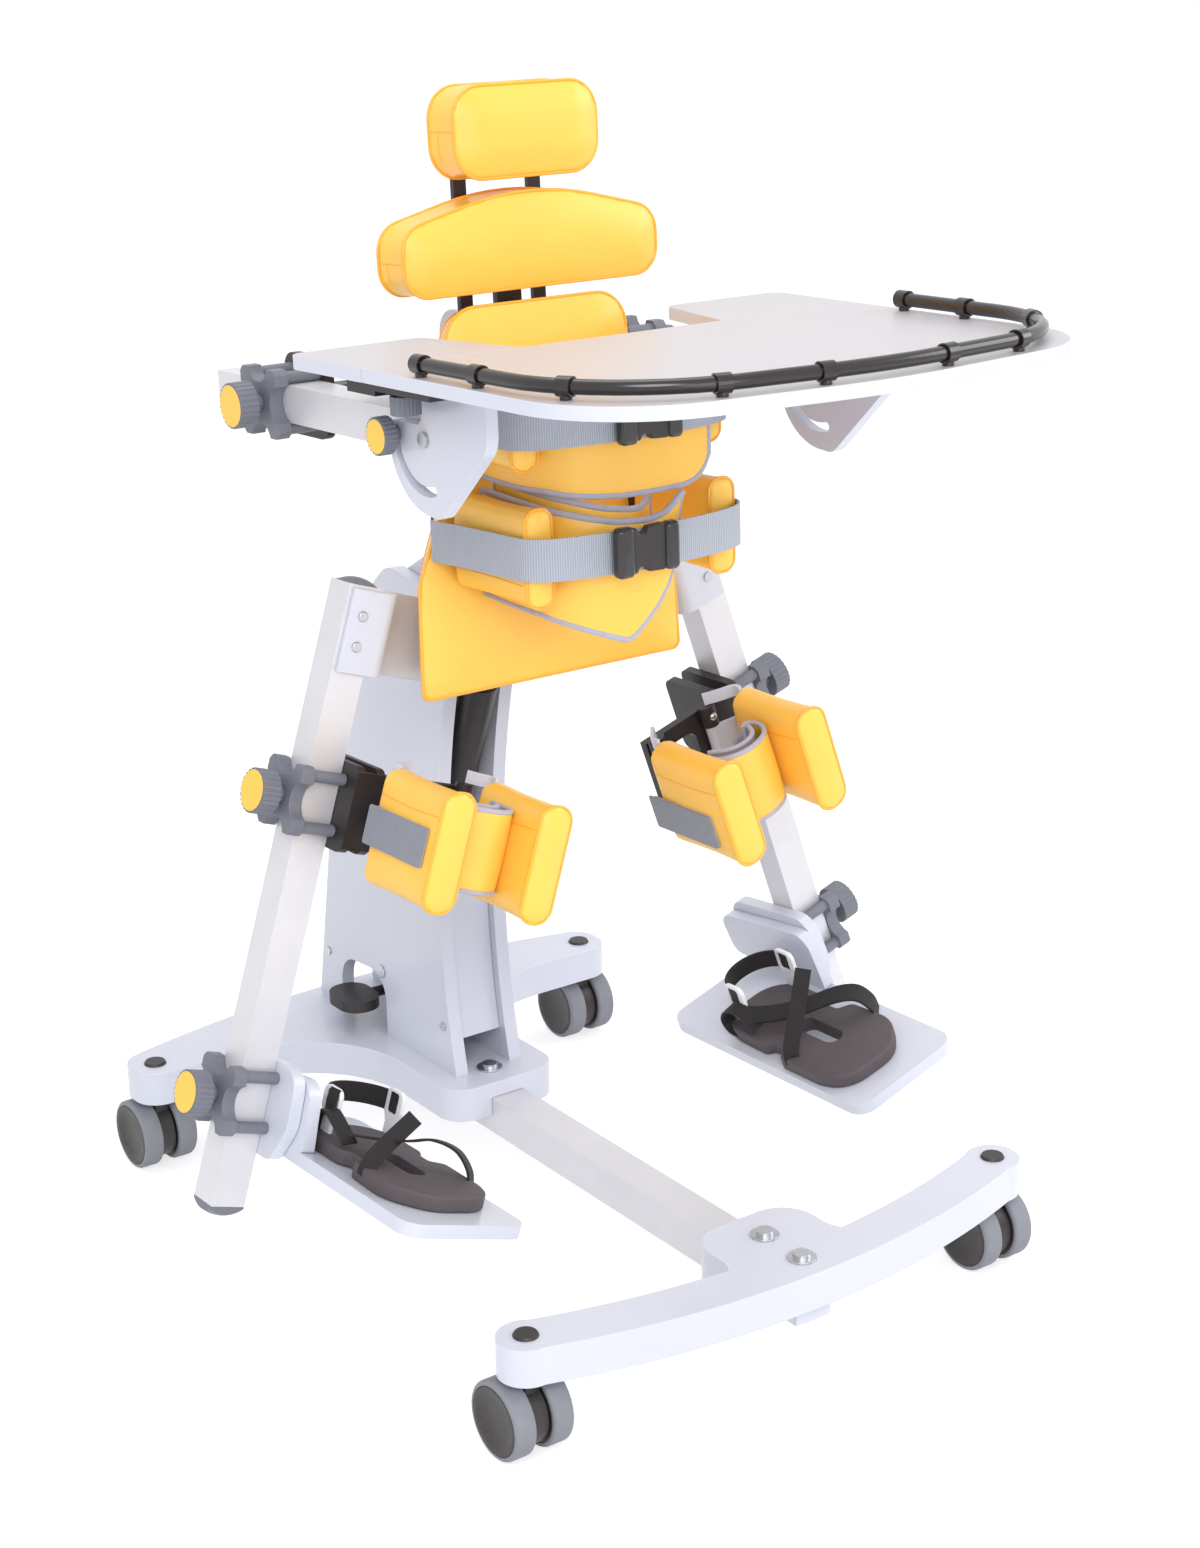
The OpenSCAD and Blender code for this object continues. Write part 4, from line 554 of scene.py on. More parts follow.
def rounded(corners, steps=7):
    """An outline from corners of x, y and a radius, with each round as an arc."""
    points = []
    for i, here in enumerate(corners):
        a, b, c = (Vector(p[:2]) for p in (corners[i - 1], here, corners[(i + 1) % len(corners)]))
        r = here[2]
        u, w = (a - b).normalized(), (c - b).normalized()
        half = u.angle(w) / 2
        centre = b + (u + w).normalized() * r / math.sin(half)
        start, end = b + u * r / math.tan(half) - centre, b + w * r / math.tan(half) - centre
        sweep = start.angle_signed(end) * -1
        for k in range(steps + 1):
            cos, sin = math.cos(sweep * k / steps), math.sin(sweep * k / steps)
            points.append(centre + Vector((start.x * cos - start.y * sin, start.x * sin + start.y * cos)))
    return points


def rounded_box(w, h, r, steps=7):
    return rounded([(-w / 2, -h / 2, r), (w / 2, -h / 2, r), (w / 2, h / 2, r), (-w / 2, h / 2, r)], steps)


def dense(points, step):
    out = []
    for i, a in enumerate(points):
        b = points[(i + 1) % len(points)]
        n = max(1, math.ceil((b - a).length / step))
        out += [a + (b - a) * j / n for j in range(n)]
    return out


def blank(name, outline):
    piece = fresh(name, bpy.ops.mesh.primitive_circle_add, vertices=len(outline), radius=0.1,
                  fill_type="NGON")
    for vertex, point in zip(piece.data.vertices, outline):
        vertex.co = (point[0] * MM, point[1] * MM, 0)
    alone(piece)
    bpy.ops.object.mode_set(mode="EDIT")
    bpy.ops.mesh.select_all(action="SELECT")
    bpy.ops.mesh.normals_make_consistent(inside=False)
    bpy.ops.object.mode_set(mode="OBJECT")
    if piece.data.polygons[0].normal.z < 0:
        piece.data.flip_normals()
    return piece


def slab(name, outline, thickness, round_edge=0.0, segments=3):
    piece = blank(name, outline)
    apply_modifier(piece, "SOLIDIFY", thickness=thickness * MM, offset=1)
    if round_edge:
        apply_modifier(piece, "BEVEL", width=round_edge * MM, segments=segments, limit_method="ANGLE",
                       angle_limit=math.radians(50))
    return piece


print("a 160 by 84 box outline has", len(rounded_box(160, 84, 30)), "points")

# %% [markdown]
# Each finished piece is carried into its plane, gets its materials, and is tied to the body that it
# moves with. Piping and bindings are tubes along a path, made as a round curve and turned to mesh.

# %% Placing, dressing and tubes
SMOOTH_ANGLE = 42


def settle(piece, plane):
    piece.data.transform(plane)
    if plane.determinant() < 0:
        piece.data.flip_normals()
    piece.data.update()
    return piece


def dress(piece, body, material):
    piece.data.materials.clear()
    piece.data.materials.append(material)
    alone(piece)
    bpy.ops.object.shade_smooth_by_angle(angle=math.radians(SMOOTH_ANGLE))
    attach(piece, body)
    return piece


def copy_of(piece, name):
    twin = piece.copy()
    twin.data = piece.data.copy()
    twin.name = twin.data.name = name
    scene.collection.objects.link(twin)
    return twin


def tube(name, path, radius, closed=False):
    curve = bpy.data.curves.new(name, "CURVE")
    curve.dimensions = "3D"
    curve.bevel_depth = radius * MM
    curve.bevel_resolution = 5
    spline = curve.splines.new("POLY")
    spline.points.add(len(path) - 1)
    for point, spot in zip(spline.points, path):
        point.co = (spot[0] * MM, spot[1] * MM, spot[2] * MM, 1)
    spline.use_cyclic_u = closed
    curve.use_fill_caps = not closed
    piece = bpy.data.objects.new(name, curve)
    scene.collection.objects.link(piece)
    alone(piece)
    bpy.ops.object.convert(target="MESH")
    return bpy.context.object


print("edges under", SMOOTH_ANGLE, "degrees are shaded smooth")

# %% [markdown]
# The pads are foam in sewn vinyl: a crowned front panel, a side band drawn in between two piped
# seams and a flat back on a board. Cloth with a little pressure gives the panels their stuffed look.
# The seams are pinned, so they stay crisp while the panels between them swell.

# %% Foam and cloth
PRESSURE, STIFFNESS, BENDING = 3.0, 25, 2
SWELL_FRAMES = 18


def edge_distance(points, outline):
    ring = np.array([(p[0], p[1]) for p in outline])
    nearest = np.full(len(points), 1e9)
    for a, b in zip(ring, np.roll(ring, -1, axis=0)):
        d = b - a
        t = np.clip(((points - a) @ d) / max(d @ d, 1e-12), 0, 1)
        nearest = np.minimum(nearest, np.linalg.norm(points - a - t[:, None] * d, axis=1))
    return nearest


def coordinates(piece):
    co = np.zeros(len(piece.data.vertices) * 3)
    piece.data.vertices.foreach_get("co", co)
    return co.reshape(-1, 3)


def move_points(piece, co):
    piece.data.vertices.foreach_set("co", co.ravel())
    piece.data.update()


def swell(piece, pinned, limit):
    group = piece.vertex_groups.new(name="seams")
    group.add([int(i) for i in np.nonzero(pinned)[0]], 1.0, "REPLACE")
    before = coordinates(piece)
    alone(piece)
    cloth = piece.modifiers.new("cloth", "CLOTH")
    cloth.settings.use_pressure = True
    cloth.settings.uniform_pressure_force = PRESSURE
    cloth.settings.effector_weights.gravity = 0
    cloth.settings.vertex_group_mass = "seams"
    cloth.settings.tension_stiffness = STIFFNESS
    cloth.settings.compression_stiffness = STIFFNESS
    cloth.settings.bending_stiffness = BENDING
    cloth.point_cache.frame_start = 1
    cloth.point_cache.frame_end = SWELL_FRAMES
    for step in range(1, SWELL_FRAMES + 1):
        scene.frame_set(step)
    bpy.ops.object.modifier_apply(modifier=cloth.name)
    scene.frame_set(1)
    travel = coordinates(piece) - before
    far = np.linalg.norm(travel, axis=1)
    travel *= np.minimum(1, limit * MM / np.maximum(far, 1e-9))[:, None]
    move_points(piece, before + travel)
    piece.vertex_groups.clear()
    print(piece.name, "swelled by up to", round(float(np.minimum(far, limit * MM).max()) / MM, 1), "mm")


def stuffed(name, outline, depth, crown, reach, drawn=2.0, voxel=5.0, limit=4.0, flat_back=True):
    """Foam cut to an outline: crowned in front, drawn in at the sides, swollen between its seams."""
    piece = slab(name, outline, depth)
    piece.data.remesh_voxel_size = voxel * MM
    alone(piece)
    bpy.ops.object.voxel_remesh()
    co = coordinates(piece) / MM
    inset = edge_distance(co[:, :2], outline)
    front = np.clip((co[:, 2] - depth * 0.8) / (depth * 0.2), 0, 1)
    co[:, 2] += crown * (1 - (1 - np.clip(inset / reach, 0, 1)) ** 2) * front
    side = np.clip(1 - inset / (2 * voxel), 0, 1) * np.sin(np.clip(co[:, 2] / depth, 0, 1) * math.pi)
    outward = co[:, :2] - co[:, :2].mean(0)
    outward /= np.maximum(np.linalg.norm(outward, axis=1), 1e-6)[:, None]
    co[:, :2] -= outward * (drawn * side)[:, None]
    move_points(piece, co * MM)
    on_front_seam = (np.abs(co[:, 2] - depth) < voxel) & (inset < voxel)
    on_back_seam = (co[:, 2] < voxel) & (inset < voxel)
    resting = (co[:, 2] < 0.6 * voxel) & flat_back
    swell(piece, on_front_seam | on_back_seam | resting, limit)
    apply_modifier(piece, "SMOOTH", factor=0.5, iterations=2)
    apply_modifier(piece, "SUBSURF", levels=1, render_levels=1)
    return piece


print("cloth runs for", SWELL_FRAMES, "frames a pad")

# %% [markdown]
# A cover is closed by piping round its front and back panels. Plain seams, where a side band is
# joined, lie on the skin: each of their points goes to the nearest place of the swollen pad. Both
# take the deeper orange of the piping, which is painted shade along the seams.

# %% Covers and seams
STRAIGHT = ((0, 1, 1), (1, 1, 1))
SEAM_R = 0.6
SEAM_REACH = 6


def grown(outline, by):
    ring = [Vector(p) for p in outline]
    out = []
    for i, p in enumerate(ring):
        d = (ring[(i + 1) % len(ring)] - ring[i - 1]).normalized()
        out.append(p + Vector((d.y, -d.x)) * by)
    return out


def piped(name, outline, height, radius=1.5, by=-0.4):
    return tube(name, [(p.x, p.y, height) for p in grown(outline, by)], radius, closed=True)


def drawn_in(piece, taper):
    """Narrow a pad towards its back, by rows of depth, share of the width and share of the height."""
    depths, widths, heights = zip(*taper)
    co = coordinates(piece) / MM
    co[:, 0] *= np.interp(co[:, 2], depths, widths)
    co[:, 1] *= np.interp(co[:, 2], depths, heights)
    move_points(piece, co * MM)
    return piece


def upholstered(name, outline, depth, crown, reach, plane, body, replaced, taper=STRAIGHT):
    pad = settle(drawn_in(stuffed(name, outline, depth, crown, reach), taper), plane)
    dress(pad, body, VINYL)
    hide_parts(*replaced)
    for end, height in (("front", depth - 1.0), ("back", 1.5)):
        welt = settle(drawn_in(piped(f"{name}_{end}_piping", outline, height), taper), plane)
        dress(welt, body, SHADE_PAINTED_PIPING)
    return pad


def seam_on(name, pad, spots):
    bpy.context.view_layer.update()
    return tube(name, [pad.closest_point_on_mesh(spot)[1] / MM for spot in spots], SEAM_R)


def end_seams(name, pad, plane, body, x, level, low):
    """The joint of a side band at both ends of a pad: one seam across it and one down from that."""
    for side, turn in (("left", 1), ("right", -1)):
        out = turn * (x + SEAM_REACH)
        for way, points in (("cross", [(out, level, d) for d in range(3, 43, 3)]),
                            ("down", [(out, v, 15) for v in range(level, low, -3)])):
            spots = [plane @ (Vector(p) * MM) for p in points]
            dress(seam_on(f"{name}_{way}_seam_{side}", pad, spots), body, SHADE_PAINTED_PIPING)


print("seams are", 2 * SEAM_R, "mm thick")

# %% [markdown]
# Three pads hold the back of the user. The headrest is a rounded box, the shoulder pad has an arched
# top, and the back pad flares to the hips and narrows towards the board behind it.

# %% Headrest, shoulder and back pads
headrest_plane = PAD_PLANE @ shift(0, 0, 516) @ FACE_FORWARD
headrest_outline = dense(rounded_box(160, 84, 30, 8), 6)
headrest = upholstered("headrest_cushion", headrest_outline, 44, 8, 34, headrest_plane, "headrest",
                       ["headrest_pad"])
end_seams("headrest", headrest, headrest_plane, "headrest", 80, 2, -34)

shoulder_plane = PAD_PLANE @ shift(0, 0, 413) @ FACE_FORWARD
shoulder_outline = dense(rounded([(-143, -40, 26), (143, -40, 26), (143, 22, 28), (0, 57, 300),
                                  (-143, 22, 28)], 8), 6)
shoulder = upholstered("shoulder_cushion", shoulder_outline, 45, 8, 38, shoulder_plane, "mast",
                       ["shoulder_pad"])
end_seams("shoulder", shoulder, shoulder_plane, "mast", 143, -8, -34)

back_half = [(152, -180.5, 8), (148, -68.5, 30), (120, -8.5, 60), (100, 180.5, 34)]
back_mirror = [(-x, y, r) for x, y, r in reversed(back_half)]
back_outline = dense(rounded([back_mirror[-1], *back_half, *back_mirror[:-1]], 8), 6)
upholstered("back_cushion", back_outline, 44, 8, 60, PAD_PLANE @ shift(0, 0, 180.5) @ FACE_FORWARD,
            "mast", ["back_pad"], taper=((0, 0.8, 0.95), (22, 0.92, 0.98), (40, 1, 1)))
print("back pads placed")

# %% [markdown]
# The side pads and knee pads are boxes of foam with rolled long edges and a piped, crowned end
# panel. One of each kind is modelled and simulated, and its copies are placed by the planes above.

# %% Box pads
SIDE_PAD_X = 104
HIP_PAD_Y, HIP_PAD_Z = -357, 733
CHEST_PAD_Y, CHEST_PAD_Z = -355, 850
KNEE_PAD_Y, KNEE_PAD_Z = -82.05, -4
KNEE_PAD_X = {"outer": -40, "inner": -150}


def box_pad(name, thickness, height, depth, seam_level):
    outline = dense(rounded_box(thickness, height, thickness / 2 - 2, 7), 5)
    pad = stuffed(name, outline, depth, 4.0, thickness / 2, drawn=1.4, voxel=4.0, limit=3.0,
                  flat_back=False)
    welt = piped(name + "_piping", outline, depth - 1.0, radius=1.4, by=0.2)
    seams = []
    for turn in (1, -1):
        spots = [Vector((turn * thickness, seam_level, d)) * MM for d in range(3, depth - 1, 4)]
        seams.append(seam_on(f"{name}_seam_{turn}", pad, spots))
    return pad, welt, *seams


def place_box_pad(model, name, plane, body, replaced):
    tails = ("", "_piping", "_seam_out", "_seam_in")
    pad, *trims = (copy_of(part, name + tail) for part, tail in zip(model, tails))
    dress(settle(pad, plane), body, VINYL)
    for trim in trims:
        dress(settle(trim, plane), body, SHADE_PAINTED_PIPING)
    if replaced:
        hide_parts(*replaced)


hip_model = box_pad("hip_model", 29, 90, 120, -24)
chest_model = box_pad("chest_model", 29, 80, 104, -20)
knee_model = box_pad("knee_model", 35, 112, 104, 31)
knee_half = float(np.abs(coordinates(knee_model[0])[:, 0]).max()) / MM
for side in SIDES:
    hip_plane = MAST @ on_side(side) @ shift(SIDE_PAD_X, HIP_PAD_Y, HIP_PAD_Z) @ FACE_FORWARD
    place_box_pad(hip_model, "hip_cushion_" + side, hip_plane, "mast", ["side_pads"])
    chest_plane = MAST @ on_side(side) @ shift(SIDE_PAD_X, CHEST_PAD_Y, CHEST_PAD_Z) @ FACE_FORWARD
    place_box_pad(chest_model, "chest_cushion_" + side, chest_plane, "mast", [])
    for where, x in KNEE_PAD_X.items():
        knee_plane = KNEE[side] @ shift(x, KNEE_PAD_Y, KNEE_PAD_Z) @ FACE_FORWARD
        place_box_pad(knee_model, f"knee_{where}_cushion_{side}", knee_plane, f"knee_{where}_{side}",
                      [f"knee_pad_{where}_{side}"])
for model in (*hip_model, *chest_model, *knee_model):
    bpy.data.objects.remove(model)
print("box pads placed; half a knee pad is", round(knee_half, 1), "mm thick")

# %% [markdown]
# The harness is sewn from padded vinyl sheets bound with grey tape. A sheet starts as a grid. Its
# columns follow a path seen from above and its rows run between a lower and an upper edge, so one
# function makes the vest, the pelvic shield and the knee straps. The tape is a tube along the border.

# %% Paths, grids and bound sheets


def curve_through(points, steps):
    """A smooth path through the points, even in the plane or in space."""
    ring = [Vector(p) for p in points]
    out = []
    for i in range(len(ring) - 1):
        a, b, c, d = ring[max(i - 1, 0)], ring[i], ring[i + 1], ring[min(i + 2, len(ring) - 1)]
        for k in range(steps):
            t = k / steps
            square = (2 * a - 5 * b + 4 * c - d) * t * t
            cube = (3 * b - a - 3 * c + d) * t ** 3
            out.append(0.5 * ((2 * b) + (c - a) * t + square + cube))
    return out + [ring[-1]]


class Path:
    """A path that is read by the share of its length."""

    def __init__(self, points, steps=10):
        self.points = np.array([tuple(p) for p in curve_through(points, steps)])
        paces = np.linalg.norm(np.diff(self.points, axis=0), axis=1)
        self.marks = np.concatenate([[0], np.cumsum(paces)])
        self.length = self.marks[-1]

    def at(self, share):
        return Vector([float(np.interp(share * self.length, self.marks, row)) for row in self.points.T])


def profile(*pairs, rub=0.012):
    """A height along a sheet, from (share, height) pairs, with the corners rubbed off."""
    shares, heights = zip(*pairs)

    def height(share):
        return float(np.interp([share - rub, share, share + rub], shares, heights).mean())

    return height


def flat(height):
    return profile((0, height), (1, height))


def draped(name, surface, columns, rows, thickness, run=None):
    piece = fresh(name, bpy.ops.mesh.primitive_grid_add, x_subdivisions=columns, y_subdivisions=rows, size=2)
    for vertex in piece.data.vertices:
        vertex.co = Vector(surface((vertex.co.x + 1) / 2, (vertex.co.y + 1) / 2)) * MM
    if run:
        lengths = piece.data.uv_layers[0]
        lengths.name = "run"
        for corner in lengths.uv:
            corner.vector.x *= run * MM
    apply_modifier(piece, "SOLIDIFY", thickness=thickness * MM, offset=0)
    return piece


def border(surface, columns, rows):
    across = [(i / columns, 0) for i in range(columns)] + [(1, i / rows) for i in range(rows)]
    home = [(1 - i / columns, 1) for i in range(columns)] + [(0, 1 - i / rows) for i in range(rows)]
    return [surface(u, v) for u, v in across + home]


def upright_sheet(path, low, high, bulge=0.0, flare=lambda u, v: 0.0):
    """Surface of a sheet that stands on a path seen from above."""
    def surface(u, v):
        ahead = path.at(min(u + 0.01, 1)) - path.at(max(u - 0.01, 0))
        out = Vector((ahead.y, -ahead.x)).normalized()
        push = bulge * (1 - (2 * v - 1) ** 2) * (1 - (2 * u - 1) ** 4) + flare(u, v)
        spot = path.at(u) + out * push
        return (spot.x, spot.y, low(u) + (high(u) - low(u)) * v)
    return surface


def bound_sheet(name, surface, plane, body, thickness=5.0, columns=44, rows=12, tape=3.3,
                replaced=()):
    sheet = draped(name, surface, columns, rows, thickness)
    apply_modifier(sheet, "SUBSURF", levels=1, render_levels=1)
    settle(sheet, plane)
    dress(sheet, body, VINYL)
    if replaced:
        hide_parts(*replaced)
    edge = settle(tube(name + "_binding", border(surface, columns, rows), tape, closed=True), plane)
    dress(edge, body, BINDING)
    return sheet


print("sheets and paths ready")

# %% [markdown]
# Three sheets make the harness: a vest across the chest, a pointed shield over the pelvis and a
# lining that shows behind the shield's upper edge. All three come forward along the right side pads
# and then run across the front.

# %% Harness sheets
SHIELD_CURL, CURL_START = 6, 0.9
vest_path = Path([(-86, -350), (-87, -400), (-82, -440), (-62, -464), (-30, -473), (10, -476), (50, -475.5),
                  (78, -474), (92, -472.5)])
vest_hem = profile((0, 792), (0.26, 788.5), (0.36, 788), (0.43, 784), (0.53, 780), (0.63, 777.7),
                   (0.81, 777.5), (0.9, 778.5), (0.94, 782), (0.965, 787), (0.985, 794), (1, 806))
vest = upright_sheet(vest_path, vest_hem, flat(868), bulge=1.0)
bound_sheet("chest_vest", vest, MAST, "mast", replaced=["harness"])

shield_path = Path([(-80, -352), (-82, -400), (-80, -440), (-66, -468), (-40, -482), (0, -488), (28, -487),
                    (47, -483)])
shield_hem = profile((0, 676), (0.37, 672.6), (0.5, 665), (0.72, 646), (0.745, 645.5), (0.8, 656.7),
                     (0.876, 674.5), (0.938, 694), (0.966, 710), (1, 742))
shield_top = profile((0, 775), (0.35, 771.5), (0.504, 766.5), (0.6, 761), (0.7, 756), (0.84, 753.8),
                     (0.918, 757.3), (0.96, 765), (1, 775))
shield = upright_sheet(shield_path, shield_hem, shield_top, bulge=2.0,
                       flare=lambda u, v: SHIELD_CURL * max(0, u - CURL_START) / (1 - CURL_START) * v ** 3)
bound_sheet("pelvic_shield", shield, MAST, "mast", columns=64)

lining_path = Path([(-70, -360), (-73, -410), (-68, -446), (-48, -464), (-14, -471), (14, -468), (33, -458)])
lining_top = profile((0, 786), (0.4, 781), (0.504, 777), (0.68, 767), (0.825, 762), (0.89, 761),
                     (0.954, 765), (1, 772))
lining = upright_sheet(lining_path, flat(735), lining_top)
bound_sheet("pelvic_lining", lining, MAST, "mast", thickness=4.0)
print("sheet lengths", [round(float(p.length), 1) for p in (vest_path, shield_path, lining_path)], "mm")

# %% [markdown]
# The belts are ribbed webbing that runs forward round the side pads and across the front. The grid's
# UV map is stretched to the belt's real length, so the ribs of the finish keep their real pitch.

# %% Belts
BELT_W, BELT_T = 39.0, 2.0
BELT_SWAY, BELT_WAVES = 1.2, 9.0
HIP_Z, CHEST_Z = 734, 850
HIP_FRONT, CHEST_FRONT = -504.5, -486


def belt(name, route, height):
    path = Path(route, 6)

    def surface(u, v):
        x, y = path.at(u)
        return (x, y, height + (v - 0.5) * BELT_W + BELT_SWAY * math.sin(u * BELT_WAVES))

    piece = draped(name, surface, 220, 4, BELT_T, run=path.length)
    dress(settle(piece, MAST), "mast", WEBBING)
    print(name, round(float(path.length)), "mm long")


belt("hip_belt", [(-135, -346), (-130, -400), (-126, -450), (-124.5, -466), (-121.5, -479), (-113, -489),
                  (-97, -496.5), (-62, -502), (0, HIP_FRONT), (62, -502), (97, -496), (114, -488.5),
                  (123, -478), (126.5, -464), (129, -430), (131, -390), (133, -346)], HIP_Z)
belt("chest_belt", [(-130, -340), (-127, -390), (-124.5, -440), (-123.5, -452), (-120.5, -463),
                    (-112, -472), (-95, -479), (-62, -483.5), (0, CHEST_FRONT), (62, -483.5),
                    (95, -478.5), (112, -471.5), (121, -462), (124.5, -448), (126, -420), (127, -380),
                    (128, -340)], CHEST_Z)

# %% [markdown]
# A side-release buckle closes each belt. Its body has a notch above and below for the fingers, and
# the two ends that hold the webbing are thicker, rounder and glossier.

# %% Buckles
BUCKLE_RISE = 1.1
NOTCH_HALF = [(-18, -21, 3), (-12, -21, 2.5), (-9.5, -15.5, 4.5), (-1.5, -15.5, 4.5), (1, -21, 2.5),
              (21, -22, 4)]
BUCKLE_BODY = rounded(NOTCH_HALF + [(x, -y, r) for x, y, r in reversed(NOTCH_HALF)], 4)
# Place along the belt, width and height of an end
BUCKLE_ENDS = {"right": (-25.5, 19, 47), "left": (27, 16, 45)}


def buckle(name, x, front, z):
    plane = MAST @ shift(x, front - BUCKLE_RISE, z) @ FACE_FORWARD
    centre = slab(name + "_body", BUCKLE_BODY, 10, 2.2, 4)
    dress(settle(centre, plane), "mast", BLACK_PLASTIC)
    for end, (at, width, tall) in BUCKLE_ENDS.items():
        bar = slab(f"{name}_end_{end}", rounded_box(width, tall, 5), 13.5, 5.2, 6)
        dress(settle(bar, plane @ shift(at, 0, 0)), "mast", GLOSS_PLASTIC)


buckle("hip_buckle", -11, HIP_FRONT, HIP_Z)
buckle("chest_buckle", 10, CHEST_FRONT, CHEST_Z)
print("belt width", BELT_W, "mm")

# %% [markdown]
# Each inner knee pad carries a padded strap that loops forward to the outer pad and folds back. Both
# pads have tape on their far side, and hang on flat blades and lugs. The blades come over from the
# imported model, since a replaced solid is hidden as a whole.

# %% Blades, lugs and tapes of the knees
LUG_T, LUG_H = 3.5, 12.2
LUG_LOW = {"upper": 42.8, "lower": -55}
KNUCKLE_X = {"outer": -68, "inner": -135}
# Way outwards, and the place of the tape along and up the pad
TAPE_AT = {"inner": (-1, -118, -20), "outer": (1, -128, -4)}
# Rise over the pad, length, step back and finish of a layer
TAPE_LAYERS = {"patch": (-0.8, 92, 0, LINING), "tab": (1.2, 97, 3, HOOK_TAPE)}
TAPE_W, TAPE_T = 37, 2.2


def blade_of(node, name, body):
    source = nodes[node]
    twin = copy_of(source, name)
    twin.modifiers.clear()
    twin.parent = None
    twin.matrix_world = source.matrix_world.copy()
    twin.hide_render = twin.hide_viewport = False
    for key in [k for k in twin.keys() if k.startswith("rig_")]:
        del twin[key]
    alone(twin)
    bpy.ops.object.mode_set(mode="EDIT")
    bpy.ops.mesh.select_all(action="SELECT")
    bpy.ops.mesh.remove_doubles(threshold=WELD_GAP)
    bpy.ops.mesh.separate(type="LOOSE")
    bpy.ops.object.mode_set(mode="OBJECT")
    shells = list(bpy.context.selected_objects)
    blade = max(shells, key=lambda piece: max(v.co.y for v in piece.data.vertices))
    for shell in shells:
        if shell != blade:
            bpy.data.objects.remove(shell)
    blade.name = blade.data.name = name
    dress(blade, body, PAINT)


def knee_tapes(side, where, body):
    way, y, z = TAPE_AT[where]
    facing = turned(90 * way, "Y")
    for layer, (rise, long, step, material) in TAPE_LAYERS.items():
        tape = slab(f"knee_{where}_{layer}_{side}", rounded_box(long, TAPE_W, 2.5, 4), TAPE_T, 0.6, 2)
        out = KNEE_PAD_X[where] + way * (knee_half + rise)
        lie = KNEE[side] @ shift(out, y + step, z) @ facing @ turned(90, "Z")
        dress(settle(tape, lie), body, material)


def knee_lugs(side, where, body):
    x, knuckle = KNEE_PAD_X[where], KNUCKLE_X[where]
    route = Path([(knuckle, -52.5), ((knuckle + x) / 2, -62), (x, -71), (x, -81)], 6)
    for end, low in LUG_LOW.items():
        surface = upright_sheet(route, flat(low), flat(low + LUG_H))
        lug = draped(f"knee_{where}_{end}_lug_{side}", surface, 18, 2, LUG_T)
        dress(settle(lug, KNEE[side]), body, PAINT)


print("tapes are", TAPE_W, "mm wide")

# %% [markdown]
# The strap is a yellow sheet, and a thinner grey flap curls inside it. The knuckles get small domed
# screws, which are spheres pressed flat.

# %% Knees
SCREW_R, SCREW_FLAT = 4.2, 0.55
SCREW_Y, SCREW_Z = -61.3, 30.75
strap_path = Path([(-133.5, -104), (-132.5, -128), (-126, -146), (-110, -156), (-92, -157), (-74, -150),
                   (-63.5, -136), (-63, -122), (-68, -114), (-74, -118)])
strap = upright_sheet(strap_path, profile((0, -43), (1, -41)), flat(35), bulge=1.0)
flap_path = Path([(-124, -124), (-112, -141), (-95, -146), (-80, -140), (-72, -124), (-69.5, -104),
                  (-71, -92)])
flap = upright_sheet(flap_path, profile((0, -30), (0.7, -30), (1, -6)),
                     profile((0, 36), (0.7, 37), (1, 10)), bulge=0.5)


def knuckle_screw(side, x, z):
    name = f"knuckle_screw_{side}_{-x}_{'high' if z > 0 else 'low'}"
    screw = fresh(name, bpy.ops.mesh.primitive_uv_sphere_add, segments=20, ring_count=10,
                  radius=SCREW_R * MM)
    screw.data.transform(Matrix.Diagonal((1, SCREW_FLAT, 1, 1)))
    dress(settle(screw, KNEE[side] @ shift(x, SCREW_Y, z)), f"knee_{side}", ZINC)


for side in SIDES:
    inner = f"knee_inner_{side}"
    for where in TAPE_AT:
        blade_of(f"knee_pad_{where}_{side}", f"knee_{where}_blade_{side}", f"knee_{where}_{side}")
    bound_sheet(f"knee_strap_{side}", strap, KNEE[side], inner, thickness=4.0, columns=40, rows=8,
                tape=2.6)
    curl = bound_sheet(f"knee_flap_{side}", flap, KNEE[side], inner, thickness=3.5, columns=30, rows=8,
                       tape=2.6)
    curl.data.materials[0] = LINING
    for where in TAPE_AT:
        knee_tapes(side, where, f"knee_{where}_{side}")
        knee_lugs(side, where, f"knee_{where}_{side}")
    for x in KNUCKLE_X.values():
        for z in (SCREW_Z, -SCREW_Z):
            knuckle_screw(side, x, z)
print("knees dressed; a strap is", round(float(strap_path.length)), "mm long")

# %% [markdown]
# A sandal is a thick rubber sole with a finger slot, two white slotted posts at the heel, a band
# between the posts and loose straps. Sole and posts are built from one outline each and mirrored for
# the right foot. The straps were left lying differently on each foot, so they have their own runs.

# %% Soles and posts
SOLE_T = 16
POST_T = 5
POST_X, POST_Y, POST_Z = 36, -51, 19.5
SANDAL_X, SANDAL_Z = -103.9, -32.55
SOLE_SHIFT = {"left": (-6, -7), "right": (6, -7)}
SOLE_OUTLINE = rounded([(-46, -18, 38), (46, -18, 38), (46, -98, 12), (37, -104, 5), (37, -122, 5),
                        (52, -130, 10), (55, -190, 44), (22, -226, 40), (-44, -224, 34), (-54, -190, 60),
                        (-54, -130, 8), (-40, -122, 5), (-40, -104, 5), (-48, -98, 12)], 8)
POST_HALF = [(8, -6, 2), (8, 8, 6), (15, 20, 6), (15, 41, 8)]
POST_MIRROR = [(-x, y, r) for x, y, r in reversed(POST_HALF)]
POST_OUTLINE = rounded([POST_MIRROR[-1], *POST_HALF, *POST_MIRROR[:-1]], 5)


